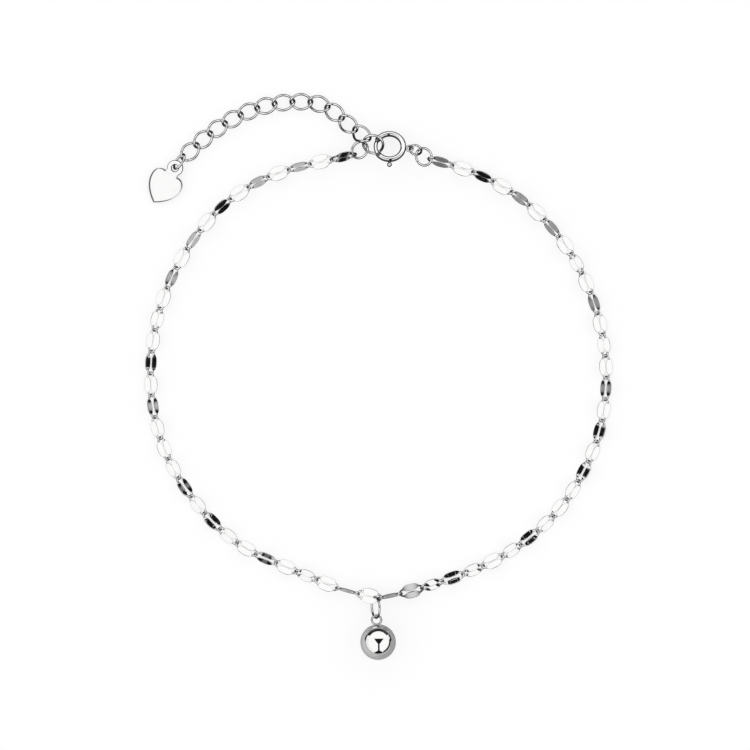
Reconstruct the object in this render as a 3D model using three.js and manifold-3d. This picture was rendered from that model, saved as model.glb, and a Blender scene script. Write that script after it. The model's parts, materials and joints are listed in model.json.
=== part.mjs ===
// A silver anklet laid down as an open loop: a chain of pressed lip links with one plain ball drop,
// a sprung ring clasp, and a short curb extender that ends in a bare heart tag.
// Millimetres and degrees. +Z is up, the anklet lies on the plane Z = 0.
import * as THREE from "three";
import { mergeVertices } from "three/addons/utils/BufferGeometryUtils.js";
import Module from "manifold-3d";

const WIRE_SIDES = 5; // facets round every thin wire
const RUNNING_GAP = 0.06; // between two separate pieces that hook into each other
const EYE_SPARE = 0.12; // a thick wire sits this much short of the narrow end of a lip link's eye
const JUNCTION_SPARE = 0.1; // the same for each of the two lip links that meet above the drop
const FUSE_BITE = 0.04; // how deep one lip link sits in the next, so that a chain is one body

// Lip chain: a wire loop whose two long sides are pressed into flat leaves, with an eye at each end
const LIP_LENGTH = 3.8;
const LIP_WIRE_R = 0.15;
const LIP_LEAF_OFFSET = 0.61;
const LIP_LEAF_HALF_WIDTH = 0.55;
const LIP_LEAF_HALF_LENGTH = 1.08;
const LIP_OVAL_POWER = 3.08; // 2 is an ellipse, more is blunter at the eyes
const LIP_STEP_ROLL = 36; // links lean this much to one side and the other of the chain's own twist
const LIP_END_LIFT = 0.12; // an end link slopes up to its ring, so its line is laid this much higher
const LIP_STATIONS = 12;

// Round rings: radius of the wire's middle line, and of the wire
const JUMP_RING_R = 1.31;
const JUMP_WIRE_R = 0.18;
const END_RING_R = 1.5;
const END_WIRE_R = 0.2;
const CLASP_LINK_R = 0.88;
const CLASP_LINK_WIRE_R = 0.17;
const PENDANT_RING_R = 1.56;
const PENDANT_WIRE_R = 0.16;
const RING_STATIONS = 12;

// Spring ring clasp: a hollow tube bent to an open ring, and a gate of wire that slides in it
const CLASP_R = 2.07;
const CLASP_TUBE_R = 0.43;
const CLASP_WALL = 0.07;
const CLASP_BORE_R = CLASP_TUBE_R - CLASP_WALL;
const CLASP_TUBE_FROM = 213;
const CLASP_TUBE_TO = 510;
const CLASP_STEP = 12; // degrees between two stations of the tube
const CLASP_SIDES = 10;
const CLASP_TILT = -20;
const CLASP_HEIGHT = 1.72;
const GATE_CLEARANCE = 0.07;
const GATE_R = CLASP_BORE_R - GATE_CLEARANCE;
const GATE_FROM = 142;
const GATE_TO = 284;
const KNOB_AT = 270;
const KNOB_BALL_R = 0.37;
const KNOB_STEM_R = 0.15;
const KNOB_RINGS = 6;
const KNOB_ROOT_SHARE = 0.4; // how far out in the gate's wire the stem starts
const GATE_TRAVEL = 52;
const SLOT_CLEARANCE = 0.07;
const SLOT_SEGMENTS = 8;
const CLASP_EYE_AT = 354;
const CLASP_EYE_R = 0.44;
const CLASP_EYE_WIRE_R = 0.16;
const SOLDER_DEPTH = 0.06;

// Extender: curb links, ovals turned about the chain's line so that they lie flat
const CURB_HALF_LENGTH = 1.63;
const CURB_HALF_WIDTH = 1.13;
const CURB_WIRE_R = 0.185;
const CURB_TURN = -42;
const CURB_COUNT = 12;
const CURB_STATIONS = 12;
const CURB_SLACK = 0.15;
const CURB_REST_SHARE = 0.31; // a turned link's lowest point, as a share of its half width

// Heart tag and the long link that carries it
const TAG_LINK_HALF_LENGTH = 1.26;
const TAG_LINK_HALF_WIDTH = 0.74;
const TAG_LINK_WIRE_R = 0.17;
const TAG_LINK_ROLL = 48;
const TAG_HOOK_AT = 12;
const TAG_HOOK_SLACK = 0.2; // the link's end lies this much further in than it has to
const TAG_SEAT_DEPTH = 0.1; // and its other end this much past the middle of the tag's hole
const TAG_THICKNESS = 0.45;
const TAG_TAB_THICKNESS = 0.33;
const TAG_LENGTH = 6.1; // from the tip of the heart to the middle of the hole
const TAG_HALF_WIDTH = 2.55;
const TAG_NECK_HALF_WIDTH = 0.98;
const TAG_NECK_DROP = 1.03; // from the middle of the hole down to the neck
const TAG_NECK_AT = TAG_LENGTH - TAG_NECK_DROP;
const TAG_TAB_R = 1.2;
const TAG_TAB_BITE = 0.3; // how far the tab reaches into the heart
const TAB_JOIN_SHARE = 0.7; // its sides leave the round this far down from the hole to the neck
const TAG_HOLE_R = 0.525;
const TAG_SEGMENTS = 6;
// Where the heart's curves bend, as shares of its half width (X) and of its height to the neck (Y)
const HEART_SHARES = {
  hipX: 0.6, hipY: 0.18, flankY: 0.44, shoulderY: 0.72, browX: 0.7, browY: 0.92, crownY: 1.03,
};

// Ball drop
const BALL_R = 2.65;
const BALL_EYE_R = 0.7;
const BALL_EYE_WIRE_R = 0.16;
const BALL_SINK = 0.16; // how far the eye's wire is soldered into the ball
const BALL_SIDES = 14;
const BALL_RINGS = 9;
const DROP_RISE = 6; // the drop's ring climbs this much from the chain towards the ball
const PENDANT_RING_ROLL = 68;

// How each ring hooks into the one before it: where on that ring, how far its plane is turned from
// that ring's plane, and how much slack is left between their wires
const END_RING_HOOK = { at: 171, roll: -52, slack: 0.55 };
const LEFT_RING_HOOK = { at: 34, roll: 50, slack: 0.08 };
const CLASP_LINK_HOOK = { at: -14, roll: 62, slack: 0.02 };
const RIGHT_RING_HOOK = { at: -34, roll: -60, slack: 0.1 };
const LEFT_CHAIN_AT = 15;
const RIGHT_CHAIN_AT = 20;
const EXTENDER_AT = -36;
const FIRST_CURB_ROLL = 5;
const FIRST_CURB_SLACK = 0.2;

// Places in the plane of the loop, measured from the middle of the round chain
const CLASP_PLACE = { x: 1.41, y: 33.99 };
const TWIST_AT_LEFT_RING = 27;
const TWIST_AT_RIGHT_RING = 16;
const JUNCTION_PLACE = { at: 269.9, radius: 33.5, twist: -40, height: 1.42 };
const DROP_AZIMUTH = 274;
const HEART_AZIMUTH = 237.4;

// Route of the lip chain: angle round the loop, distance from its middle, and the chain's own twist
const LEFT_ROUTE = [
  { at: 118, radius: 33.8, twist: 21 },
  { at: 134, radius: 34.5, twist: 20 },
  { at: 151, radius: 34.4, twist: 15 },
  { at: 168, radius: 34.4, twist: 8 },
  { at: 185, radius: 34.4, twist: 6 },
  { at: 201, radius: 34.2, twist: 1 },
  { at: 217, radius: 33.6, twist: 1 },
  { at: 231, radius: 33.1, twist: -1 },
  { at: 243, radius: 32.2, twist: -3 },
  { at: 252, radius: 32.2, twist: -14 },
  { at: 261, radius: 32.85, twist: -38 },
];
const RIGHT_ROUTE = [
  { at: 278, radius: 32.85, twist: -27 },
  { at: 288, radius: 32.4, twist: -8 },
  { at: 300, radius: 32.7, twist: -9 },
  { at: 312, radius: 33.2, twist: -3 },
  { at: 326, radius: 33.7, twist: 0 },
  { at: 343, radius: 34.0, twist: 5 },
  { at: 0, radius: 33.9, twist: 6 },
  { at: 17, radius: 33.8, twist: 14 },
  { at: 34, radius: 33.8, twist: 17 },
  { at: 50, radius: 33.7, twist: 23 },
  { at: 64, radius: 33.3, twist: 25 },
];
// Route of the extender, from the clasp end to the tag
const EXTENDER_ROUTE = [
  { x: -4.2, y: 36.9, lift: 0.3 },
  { x: -8.7, y: 40.3 },
  { x: -14.5, y: 40.65 },
  { x: -20.0, y: 39.2 },
  { x: -24.9, y: 36.4 },
  { x: -28.9, y: 32.9 },
  { x: -32.0, y: 29.6 },
];

// How far a lip link's end wire lies past the point where it meets the next link of its chain
const LIP_END_REACH = LIP_WIRE_R * Math.cos(Math.PI / WIRE_SIDES) - FUSE_BITE / 2;

const UP = new THREE.Vector3(0, 0, 1);
const rad = THREE.MathUtils.degToRad;
const wasm = await Module();
wasm.setup();

const WIRE_ROUGHNESS = 0.12;
const TAG_ROUGHNESS = 0.08;
const silver = (roughness) =>
  new THREE.MeshStandardMaterial({ color: 0xe6e7e9, metalness: 1, roughness });

// A geometry as a closed solid, ready to be joined or cut.
function solidOf(geometry) {
  const bare = new THREE.BufferGeometry();
  bare.setAttribute("position", geometry.getAttribute("position"));
  bare.setIndex(geometry.getIndex());
  const merged = mergeVertices(bare, 1e-4);
  return new wasm.Manifold(
    new wasm.Mesh({
      numProp: 3,
      vertProperties: merged.getAttribute("position").array,
      triVerts: new Uint32Array(merged.getIndex().array),
    }),
  );
}

function geometryOf(solid) {
  const { vertProperties, triVerts } = solid.getMesh();
  const geometry = new THREE.BufferGeometry();
  geometry.setAttribute("position", new THREE.BufferAttribute(vertProperties, 3));
  geometry.setIndex(new THREE.BufferAttribute(triVerts, 1));
  geometry.computeVertexNormals();
  return geometry;
}

// A frame is a middle point and three square directions: along, side and the normal of the piece's plane.
function frameAt(centre, along, side) {
  const x = along.clone().normalize();
  const z = new THREE.Vector3().crossVectors(x, side).normalize();
  const y = new THREE.Vector3().crossVectors(z, x);
  return { centre: centre.clone(), along: x, side: y, normal: z };
}

function matrixOf(frame) {
  return new THREE.Matrix4().makeBasis(frame.along, frame.side, frame.normal).setPosition(frame.centre);
}

function meshIn(frame, name, geometry, roughness) {
  const mesh = new THREE.Mesh(geometry, silver(roughness));
  mesh.name = name;
  mesh.applyMatrix4(matrixOf(frame));
  return mesh;
}

// The direction at an angle in a frame's plane, and the frame's own level turned about a line.
function directionIn(frame, degrees) {
  const part = frame.side.clone().multiplyScalar(Math.sin(rad(degrees)));
  return frame.along.clone().multiplyScalar(Math.cos(rad(degrees))).add(part);
}

function levelSide(along) {
  return new THREE.Vector3().crossVectors(UP, along).normalize();
}

function rolledFrame(centre, along, degrees) {
  const side = levelSide(along).applyAxisAngle(along.clone().normalize(), rad(degrees));
  return frameAt(centre, along, side);
}

function headingOf(azimuth, rise = 0) {
  return new THREE.Vector3(
    Math.cos(rad(azimuth)) * Math.cos(rad(rise)),
    Math.sin(rad(azimuth)) * Math.cos(rad(rise)),
    Math.sin(rad(rise)),
  );
}

// A ring hooked into another ring at an angle of it, and turned about the line between their middles.
function hookedFrame(host, hostR, hostWireR, ringR, ringWireR, hook) {
  const out = directionIn(host, hook.at);
  const reach = hostR + ringR - hostWireR - ringWireR - RUNNING_GAP - hook.slack;
  const centre = host.centre.clone().addScaledVector(out, reach);
  const side = new THREE.Vector3().crossVectors(host.normal, out);
  side.applyAxisAngle(out, rad(hook.roll));
  return frameAt(centre, out, side);
}

const ringGeometry = (ringR, wireR) =>
  new THREE.TorusGeometry(ringR, wireR, WIRE_SIDES, RING_STATIONS);

// One lip link along X: its middle line is |x/a|^power + |y/b|^2 = 1, its section grows from round wire
// at the eyes to a flat leaf in the middle.
function lipGeometry(halfLength) {
  const geometry = new THREE.TorusGeometry(1, 0.5, WIRE_SIDES, LIP_STATIONS);
  const place = geometry.getAttribute("position");
  const uv = geometry.getAttribute("uv");
  for (let i = 0; i < place.count; i += 1) {
    const turn = 2 * Math.PI * uv.getX(i);
    const round = 2 * Math.PI * uv.getY(i);
    const alongShare = Math.cos(turn);
    const acrossShare = Math.sqrt(Math.max(0, 1 - Math.abs(alongShare) ** LIP_OVAL_POWER));
    const x = halfLength * alongShare;
    const y = LIP_LEAF_OFFSET * acrossShare * Math.sign(Math.sin(turn));
    const steepness = Math.abs(alongShare) ** (LIP_OVAL_POWER - 1) * Math.sign(alongShare);
    const outward = new THREE.Vector2(
      (LIP_OVAL_POWER / halfLength) * steepness,
      (2 * y) / LIP_LEAF_OFFSET ** 2,
    ).normalize();
    const leafShare = Math.sqrt(Math.max(0, 1 - (x / LIP_LEAF_HALF_LENGTH) ** 2));
    const halfWidth = Math.max(LIP_WIRE_R, LIP_LEAF_HALF_WIDTH * leafShare);
    const halfThick = LIP_WIRE_R * Math.sqrt(LIP_WIRE_R / halfWidth);
    const offset = halfWidth * Math.cos(round);
    place.setXYZ(i, x + outward.x * offset, y + outward.y * offset, halfThick * Math.sin(round));
  }
  return geometry;
}

// How far a lip link reaches below the chain's line when it is rolled.
function lipReach(roll) {
  const leaf = (LIP_LEAF_OFFSET + LIP_LEAF_HALF_WIDTH) * Math.abs(Math.sin(rad(roll)));
  return Math.max(LIP_WIRE_R, leaf);
}

const polarPoint = ({ at, radius }) =>
  new THREE.Vector3(radius * Math.cos(rad(at)), radius * Math.sin(rad(at)), 0);

// The chain's links, between two end points: each spans two contacts and leans to the side of its turn.
// An end link reaches past its end point, which is the middle of the wire that it hooks over.
function lipChain(start, end, rows, startReach, endReach, firstSign) {
  const points = [start.point, ...rows.map(polarPoint), end.point];
  const twists = [start.twist, ...rows.map((row) => row.twist), end.twist];
  const flat = points.map((p) => new THREE.Vector3(p.x, p.y, 0));
  const route = new THREE.CatmullRomCurve3(flat, false, "catmullrom", 0.5);
  const pitch = LIP_LENGTH - 2 * (LIP_WIRE_R + LIP_END_REACH);
  const count = Math.round(route.getLength() / pitch);
  const rolls = [];
  for (let i = 0; i < count; i += 1) {
    const place = route.getUtoTmapping((i + 0.5) / count) * (twists.length - 1);
    const before = Math.min(Math.floor(place), twists.length - 2);
    const twist = THREE.MathUtils.lerp(twists[before], twists[before + 1], place - before);
    rolls.push(twist + LIP_STEP_ROLL * firstSign * (i % 2 ? -1 : 1));
  }
  const contacts = [];
  for (let i = 0; i <= count; i += 1) {
    const contact = route.getPointAt(i / count);
    contact.z = Math.max(lipReach(rolls[Math.max(0, i - 1)]), lipReach(rolls[Math.min(i, count - 1)]));
    contacts.push(contact);
  }
  contacts[0].z = start.point.z;
  contacts[count].z = end.point.z;
  const firstLift = 2 * (lipReach(rolls[0]) + LIP_END_LIFT) - start.point.z;
  const lastLift = 2 * (lipReach(rolls[count - 1]) + LIP_END_LIFT) - end.point.z;
  contacts[1].z = Math.max(contacts[1].z, firstLift);
  contacts[count - 1].z = Math.max(contacts[count - 1].z, lastLift);
  const links = [];
  for (let i = 0; i < count; i += 1) {
    const span = new THREE.Vector3().subVectors(contacts[i + 1], contacts[i]);
    const chord = span.length();
    const out = span.normalize();
    const nearOver = i === 0 ? startReach : LIP_END_REACH;
    const farOver = i === count - 1 ? endReach : LIP_END_REACH;
    const middle = contacts[i].clone().addScaledVector(out, (chord + farOver - nearOver) / 2);
    const halfLength = (chord + nearOver + farOver) / 2;
    links.push({ frame: rolledFrame(middle, out, -rolls[i]), halfLength });
  }
  return links;
}

function chainGeometry(links) {
  const solids = links.map(({ frame, halfLength }) =>
    solidOf(lipGeometry(halfLength).applyMatrix4(matrixOf(frame))),
  );
  return geometryOf(solids.reduce((joined, link) => joined.add(link)));
}

// An arc in the XY plane, and a round section with flat facets to carry along it.
class ArcCurve extends THREE.Curve {
  constructor(radius, from, to) {
    super();
    Object.assign(this, { radius, from, to });
  }

  getPoint(share, target = new THREE.Vector3()) {
    const angle = rad(THREE.MathUtils.lerp(this.from, this.to, share));
    return target.set(this.radius * Math.cos(angle), this.radius * Math.sin(angle), 0);
  }
}

function roundOutline(radius, sides) {
  const points = [];
  for (let i = 0; i < sides; i += 1) {
    const angle = (2 * Math.PI * i) / sides;
    points.push(new THREE.Vector2(radius * Math.cos(angle), radius * Math.sin(angle)));
  }
  return points;
}

function bentBar(outerR, innerR, from, to) {
  const section = new THREE.Shape(roundOutline(outerR, CLASP_SIDES));
  if (innerR > 0) section.holes.push(new THREE.Path(roundOutline(innerR, CLASP_SIDES).reverse()));
  return new THREE.ExtrudeGeometry(section, {
    steps: Math.round((to - from) / CLASP_STEP),
    bevelEnabled: false,
    extrudePath: new ArcCurve(CLASP_R, from, to),
  });
}

// The knob that the finger pulls: a stem through the slot with a ball on it.
const knobStart = CLASP_R + GATE_R * KNOB_ROOT_SHARE;
const knobMiddle = CLASP_R + CLASP_TUBE_R + RUNNING_GAP + KNOB_BALL_R;

function knobGeometry() {
  const foot = knobMiddle - knobStart;
  const stemTop = Math.sqrt(KNOB_BALL_R ** 2 - KNOB_STEM_R ** 2);
  const profile = [new THREE.Vector2(0, -foot), new THREE.Vector2(KNOB_STEM_R, -foot)];
  const lowest = Math.asin(-stemTop / KNOB_BALL_R);
  for (let i = 0; i < KNOB_RINGS; i += 1) {
    const angle = THREE.MathUtils.lerp(lowest, Math.PI / 2, i / KNOB_RINGS);
    profile.push(new THREE.Vector2(KNOB_BALL_R * Math.cos(angle), KNOB_BALL_R * Math.sin(angle)));
  }
  profile.push(new THREE.Vector2(0, KNOB_BALL_R));
  const geometry = new THREE.LatheGeometry(profile, CLASP_SIDES);
  geometry.rotateZ(rad(KNOB_AT - 90));
  const out = new THREE.Vector2(Math.cos(rad(KNOB_AT)), Math.sin(rad(KNOB_AT))).multiplyScalar(knobMiddle);
  return geometry.translate(out.x, out.y, 0);
}

// The slot that the stem slides in, cut through the outer wall of the tube.
function slotGeometry() {
  const inner = CLASP_R;
  const outer = CLASP_R + 2 * CLASP_TUBE_R;
  const room = KNOB_STEM_R + SLOT_CLEARANCE;
  const spare = THREE.MathUtils.radToDeg(room / (CLASP_R + CLASP_BORE_R));
  const from = rad(KNOB_AT - spare);
  const to = rad(KNOB_AT + GATE_TRAVEL + spare);
  const shape = new THREE.Shape();
  shape.absarc(0, 0, outer, from, to, false);
  shape.absarc(0, 0, inner, to, from, true);
  const cut = { depth: 2 * room, bevelEnabled: false, curveSegments: SLOT_SEGMENTS };
  const geometry = new THREE.ExtrudeGeometry(shape, cut);
  return geometry.translate(0, 0, -room);
}

const claspEyeMiddle = CLASP_R + CLASP_TUBE_R - SOLDER_DEPTH + CLASP_EYE_R + CLASP_EYE_WIRE_R;

function claspRingGeometry() {
  const tube = solidOf(bentBar(CLASP_TUBE_R, CLASP_BORE_R, CLASP_TUBE_FROM, CLASP_TUBE_TO));
  const eye = ringGeometry(CLASP_EYE_R, CLASP_EYE_WIRE_R);
  const eyeAngle = rad(CLASP_EYE_AT);
  eye.translate(claspEyeMiddle * Math.cos(eyeAngle), claspEyeMiddle * Math.sin(eyeAngle), 0);
  return geometryOf(tube.subtract(solidOf(slotGeometry())).add(solidOf(eye)));
}

function triggerGeometry() {
  const gate = solidOf(bentBar(GATE_R, 0, GATE_FROM, GATE_TO));
  return geometryOf(gate.add(solidOf(knobGeometry())));
}

// A curb link along X: an oval whose plane turns with the distance from its middle.
class CurbCurve extends THREE.Curve {
  constructor(halfLength, halfWidth, turn) {
    super();
    Object.assign(this, { halfLength, halfWidth, turn });
  }

  getPoint(share, target = new THREE.Vector3()) {
    const angle = 2 * Math.PI * share;
    const across = this.halfWidth * Math.sin(angle);
    const turned = rad(this.turn) * Math.cos(angle);
    const x = this.halfLength * Math.cos(angle);
    return target.set(x, across * Math.cos(turned), across * Math.sin(turned));
  }
}

const ovalGeometry = (halfLength, halfWidth, wireR, turn) =>
  new THREE.TubeGeometry(new CurbCurve(halfLength, halfWidth, turn), CURB_STATIONS, wireR, WIRE_SIDES, true);

// The heart's outline from its tip at the origin, with the tab for the hole above it.
function heartShape() {
  const shape = new THREE.Shape();
  const [hipX, hipY, flankY, shoulderY, browX, browY, crownY] = [
    HEART_SHARES.hipX * TAG_HALF_WIDTH,
    HEART_SHARES.hipY * TAG_NECK_AT,
    HEART_SHARES.flankY * TAG_NECK_AT,
    HEART_SHARES.shoulderY * TAG_NECK_AT,
    HEART_SHARES.browX * TAG_HALF_WIDTH,
    HEART_SHARES.browY * TAG_NECK_AT,
    HEART_SHARES.crownY * TAG_NECK_AT,
  ];
  shape.moveTo(0, 0);
  shape.bezierCurveTo(hipX, hipY, TAG_HALF_WIDTH, flankY, TAG_HALF_WIDTH, shoulderY);
  shape.bezierCurveTo(TAG_HALF_WIDTH, browY, browX, crownY, TAG_NECK_HALF_WIDTH, TAG_NECK_AT);
  shape.lineTo(-TAG_NECK_HALF_WIDTH, TAG_NECK_AT);
  shape.bezierCurveTo(-browX, crownY, -TAG_HALF_WIDTH, browY, -TAG_HALF_WIDTH, shoulderY);
  shape.bezierCurveTo(-TAG_HALF_WIDTH, flankY, -hipX, hipY, 0, 0);
  return shape;
}

function plateGeometry(shape, thickness) {
  const plate = { depth: thickness, bevelEnabled: false, curveSegments: TAG_SEGMENTS };
  const geometry = new THREE.ExtrudeGeometry(shape, plate);
  return geometry.translate(0, 0, -thickness / 2);
}

function tagGeometry() {
  const tab = new THREE.Shape();
  const joinAngle = -Math.asin((TAB_JOIN_SHARE * TAG_NECK_DROP) / TAG_TAB_R);
  tab.moveTo(-TAG_NECK_HALF_WIDTH, TAG_NECK_AT - TAG_TAB_BITE);
  tab.lineTo(TAG_NECK_HALF_WIDTH, TAG_NECK_AT - TAG_TAB_BITE);
  tab.absarc(0, TAG_LENGTH, TAG_TAB_R, joinAngle, Math.PI - joinAngle, false);
  tab.closePath();
  const hole = new THREE.Path();
  hole.absarc(0, TAG_LENGTH, TAG_HOLE_R, 0, 2 * Math.PI, true);
  tab.holes.push(hole);
  const heart = solidOf(plateGeometry(heartShape(), TAG_THICKNESS));
  return geometryOf(heart.add(solidOf(plateGeometry(tab, TAG_TAB_THICKNESS))));
}

// The ball with its soldered eye: the ball's middle is the origin, the eye lies along X.
const ballEyeMiddle = BALL_R - BALL_SINK + BALL_EYE_R + BALL_EYE_WIRE_R;

function ballGeometry() {
  const ball = solidOf(new THREE.SphereGeometry(BALL_R, BALL_SIDES, BALL_RINGS).rotateX(Math.PI / 2));
  const eye = ringGeometry(BALL_EYE_R, BALL_EYE_WIRE_R).translate(ballEyeMiddle, 0, 0);
  return geometryOf(ball.add(solidOf(eye)));
}

// Clasp and the rings hooked to it
const claspFrame = rolledFrame(
  new THREE.Vector3(CLASP_PLACE.x, CLASP_PLACE.y, CLASP_HEIGHT),
  new THREE.Vector3(1, 0, 0),
  CLASP_TILT,
);
const endRingFrame = hookedFrame(claspFrame, CLASP_R, GATE_R, END_RING_R, END_WIRE_R, END_RING_HOOK);
const leftRingFrame = hookedFrame(
  endRingFrame, END_RING_R, END_WIRE_R, JUMP_RING_R, JUMP_WIRE_R, LEFT_RING_HOOK,
);
const claspEyeFrame = frameAt(
  claspFrame.centre.clone().addScaledVector(directionIn(claspFrame, CLASP_EYE_AT), claspEyeMiddle),
  claspFrame.along,
  claspFrame.side,
);
const claspLinkFrame = hookedFrame(
  claspEyeFrame, CLASP_EYE_R, CLASP_EYE_WIRE_R, CLASP_LINK_R, CLASP_LINK_WIRE_R, CLASP_LINK_HOOK,
);
const rightRingFrame = hookedFrame(
  claspLinkFrame, CLASP_LINK_R, CLASP_LINK_WIRE_R, JUMP_RING_R, JUMP_WIRE_R, RIGHT_RING_HOOK,
);

// A point on the middle line of a ring's wire.
const onRing = (frame, ringR, at) =>
  frame.centre.clone().addScaledVector(directionIn(frame, at), ringR);

const junction = polarPoint(JUNCTION_PLACE).setZ(JUNCTION_PLACE.height);
const junctionEnd = { point: junction, twist: JUNCTION_PLACE.twist };
const junctionReach = LIP_WIRE_R + RUNNING_GAP / 2 + JUNCTION_SPARE;
const ringReach = JUMP_WIRE_R + LIP_WIRE_R + RUNNING_GAP + EYE_SPARE;
const leftLinks = lipChain(
  { point: onRing(leftRingFrame, JUMP_RING_R, LEFT_CHAIN_AT), twist: TWIST_AT_LEFT_RING },
  junctionEnd, LEFT_ROUTE, ringReach, junctionReach, 1,
);
const rightLinks = lipChain(
  junctionEnd,
  { point: onRing(rightRingFrame, JUMP_RING_R, RIGHT_CHAIN_AT), twist: TWIST_AT_RIGHT_RING },
  RIGHT_ROUTE, junctionReach, ringReach, -1,
);

// The drop: its ring hangs in the last eye of the left chain, beside the first link of the right one
const lastLeft = leftLinks.at(-1);
const ringInEye = 2 * junctionReach + LIP_WIRE_R + 2 * RUNNING_GAP + PENDANT_WIRE_R;
const ringHang = lastLeft.frame.centre
  .clone()
  .addScaledVector(lastLeft.frame.along, lastLeft.halfLength - ringInEye);
const dropHeading = headingOf(DROP_AZIMUTH, DROP_RISE);
const pendantRingFrame = rolledFrame(
  ringHang.clone().addScaledVector(dropHeading, PENDANT_RING_R),
  dropHeading,
  PENDANT_RING_ROLL,
);
const eyeInRing = PENDANT_RING_R - PENDANT_WIRE_R - BALL_EYE_WIRE_R - RUNNING_GAP;
const ballEyeEnd = pendantRingFrame.centre.clone().addScaledVector(dropHeading, eyeInRing);
const ballReach = ballEyeMiddle + BALL_EYE_R;
const ballRise = THREE.MathUtils.radToDeg(Math.asin((BALL_R - ballEyeEnd.z) / ballReach));
const ballHeading = headingOf(DROP_AZIMUTH, ballRise);
const ballFrame = rolledFrame(
  ballEyeEnd.clone().addScaledVector(ballHeading, ballReach),
  ballHeading.clone().negate(),
  0,
);

// The extender: the first link climbs to the end ring, the others lie on the floor
const curbRest = CURB_WIRE_R + CURB_HALF_WIDTH * CURB_REST_SHARE;
const firstHook = onRing(endRingFrame, END_RING_R, EXTENDER_AT);
const firstReach = END_WIRE_R + 2 * CURB_WIRE_R + RUNNING_GAP + FIRST_CURB_SLACK;
const curbPitch = 2 * CURB_HALF_LENGTH - 2 * CURB_WIRE_R - RUNNING_GAP - CURB_SLACK;

function extenderFrames() {
  const flat = EXTENDER_ROUTE.map(({ x, y, lift = 0 }) => new THREE.Vector3(x, y, curbRest + lift));
  const route = new THREE.CatmullRomCurve3([firstHook.clone(), ...flat], false, "catmullrom", 0.5);
  const length = route.getLength();
  const frames = [];
  for (let i = 0; i < CURB_COUNT; i += 1) {
    const middle = CURB_HALF_LENGTH + CURB_WIRE_R - firstReach + i * curbPitch;
    const near = route.getPointAt(Math.max(0, middle - CURB_HALF_LENGTH) / length);
    const far = route.getPointAt(Math.min(1, (middle + CURB_HALF_LENGTH) / length));
    const along = new THREE.Vector3().subVectors(far, near);
    frames.push(rolledFrame(route.getPointAt(middle / length), along, i === 0 ? FIRST_CURB_ROLL : 0));
  }
  return frames;
}

const curbFrames = extenderFrames();
const lastCurb = curbFrames.at(-1);

const meshes = [];
const add = (frame, name, geometry, roughness = WIRE_ROUGHNESS) =>
  meshes.push(meshIn(frame, name, geometry, roughness));
const level = frameAt(new THREE.Vector3(), new THREE.Vector3(1, 0, 0), new THREE.Vector3(0, 1, 0));
add(level, "chain_left", chainGeometry(leftLinks));
add(level, "chain_right", chainGeometry(rightLinks));
add(claspFrame, "clasp_ring", claspRingGeometry());
add(claspFrame, "clasp_trigger", triggerGeometry());
add(endRingFrame, "end_ring", ringGeometry(END_RING_R, END_WIRE_R));
add(leftRingFrame, "jump_ring_left", ringGeometry(JUMP_RING_R, JUMP_WIRE_R));
add(claspLinkFrame, "clasp_link", ringGeometry(CLASP_LINK_R, CLASP_LINK_WIRE_R));
add(rightRingFrame, "jump_ring_right", ringGeometry(JUMP_RING_R, JUMP_WIRE_R));
add(pendantRingFrame, "pendant_ring", ringGeometry(PENDANT_RING_R, PENDANT_WIRE_R));
add(ballFrame, "pendant_ball", ballGeometry());
curbFrames.forEach((frame, i) => {
  const name = `extender_link_${String(i + 1).padStart(2, "0")}`;
  add(frame, name, ovalGeometry(CURB_HALF_LENGTH, CURB_HALF_WIDTH, CURB_WIRE_R, CURB_TURN));
});

// The tag: its long link hooks into the side of the last curb link
const curb = new CurbCurve(CURB_HALF_LENGTH, CURB_HALF_WIDTH, CURB_TURN);
const hookPoint = curb.getPoint(-TAG_HOOK_AT / 360).applyMatrix4(matrixOf(lastCurb));
const tagLinkAlong = headingOf(HEART_AZIMUTH);
const tagLinkLean = Math.abs(Math.sin(rad(TAG_LINK_ROLL)));
const tagLinkRest = TAG_LINK_WIRE_R + TAG_LINK_HALF_WIDTH * tagLinkLean;
const tagLinkNear = hookPoint
  .clone()
  .addScaledVector(tagLinkAlong, -(CURB_WIRE_R + TAG_LINK_WIRE_R + RUNNING_GAP + TAG_HOOK_SLACK))
  .setZ(tagLinkRest);
const tagLinkFrame = rolledFrame(
  tagLinkNear.clone().addScaledVector(tagLinkAlong, TAG_LINK_HALF_LENGTH),
  tagLinkAlong,
  TAG_LINK_ROLL,
);
const tagLink = ovalGeometry(TAG_LINK_HALF_LENGTH, TAG_LINK_HALF_WIDTH, TAG_LINK_WIRE_R, 0);
add(tagLinkFrame, "tag_link", tagLink);
const holeMiddle = tagLinkNear
  .clone()
  .addScaledVector(tagLinkAlong, 2 * TAG_LINK_HALF_LENGTH - TAG_SEAT_DEPTH);
const tagRise = Math.asin((holeMiddle.z - TAG_THICKNESS / 2) / TAG_LENGTH);
const tagAlong = headingOf(HEART_AZIMUTH, -THREE.MathUtils.radToDeg(tagRise));
const tagTip = holeMiddle.clone().addScaledVector(tagAlong, TAG_LENGTH);
const tagSide = new THREE.Vector3().crossVectors(UP, tagAlong);
const tagFrame = frameAt(tagTip, tagSide, tagAlong.clone().negate());
add(tagFrame, "heart_tag", tagGeometry(), TAG_ROUGHNESS);

// The whole stands on Z = 0 with the middle of its outline at the origin.
const anklet = new THREE.Group();
anklet.add(...meshes);
const outline = new THREE.Box3().setFromObject(anklet, true);
const middle = outline.getCenter(new THREE.Vector3());
anklet.position.set(-middle.x, -middle.y, -outline.min.z);

export default anklet;
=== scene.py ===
"""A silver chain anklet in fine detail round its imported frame: lip chain, ball drop, clasp, heart tag."""

import json
import math
from typing import NamedTuple

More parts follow.
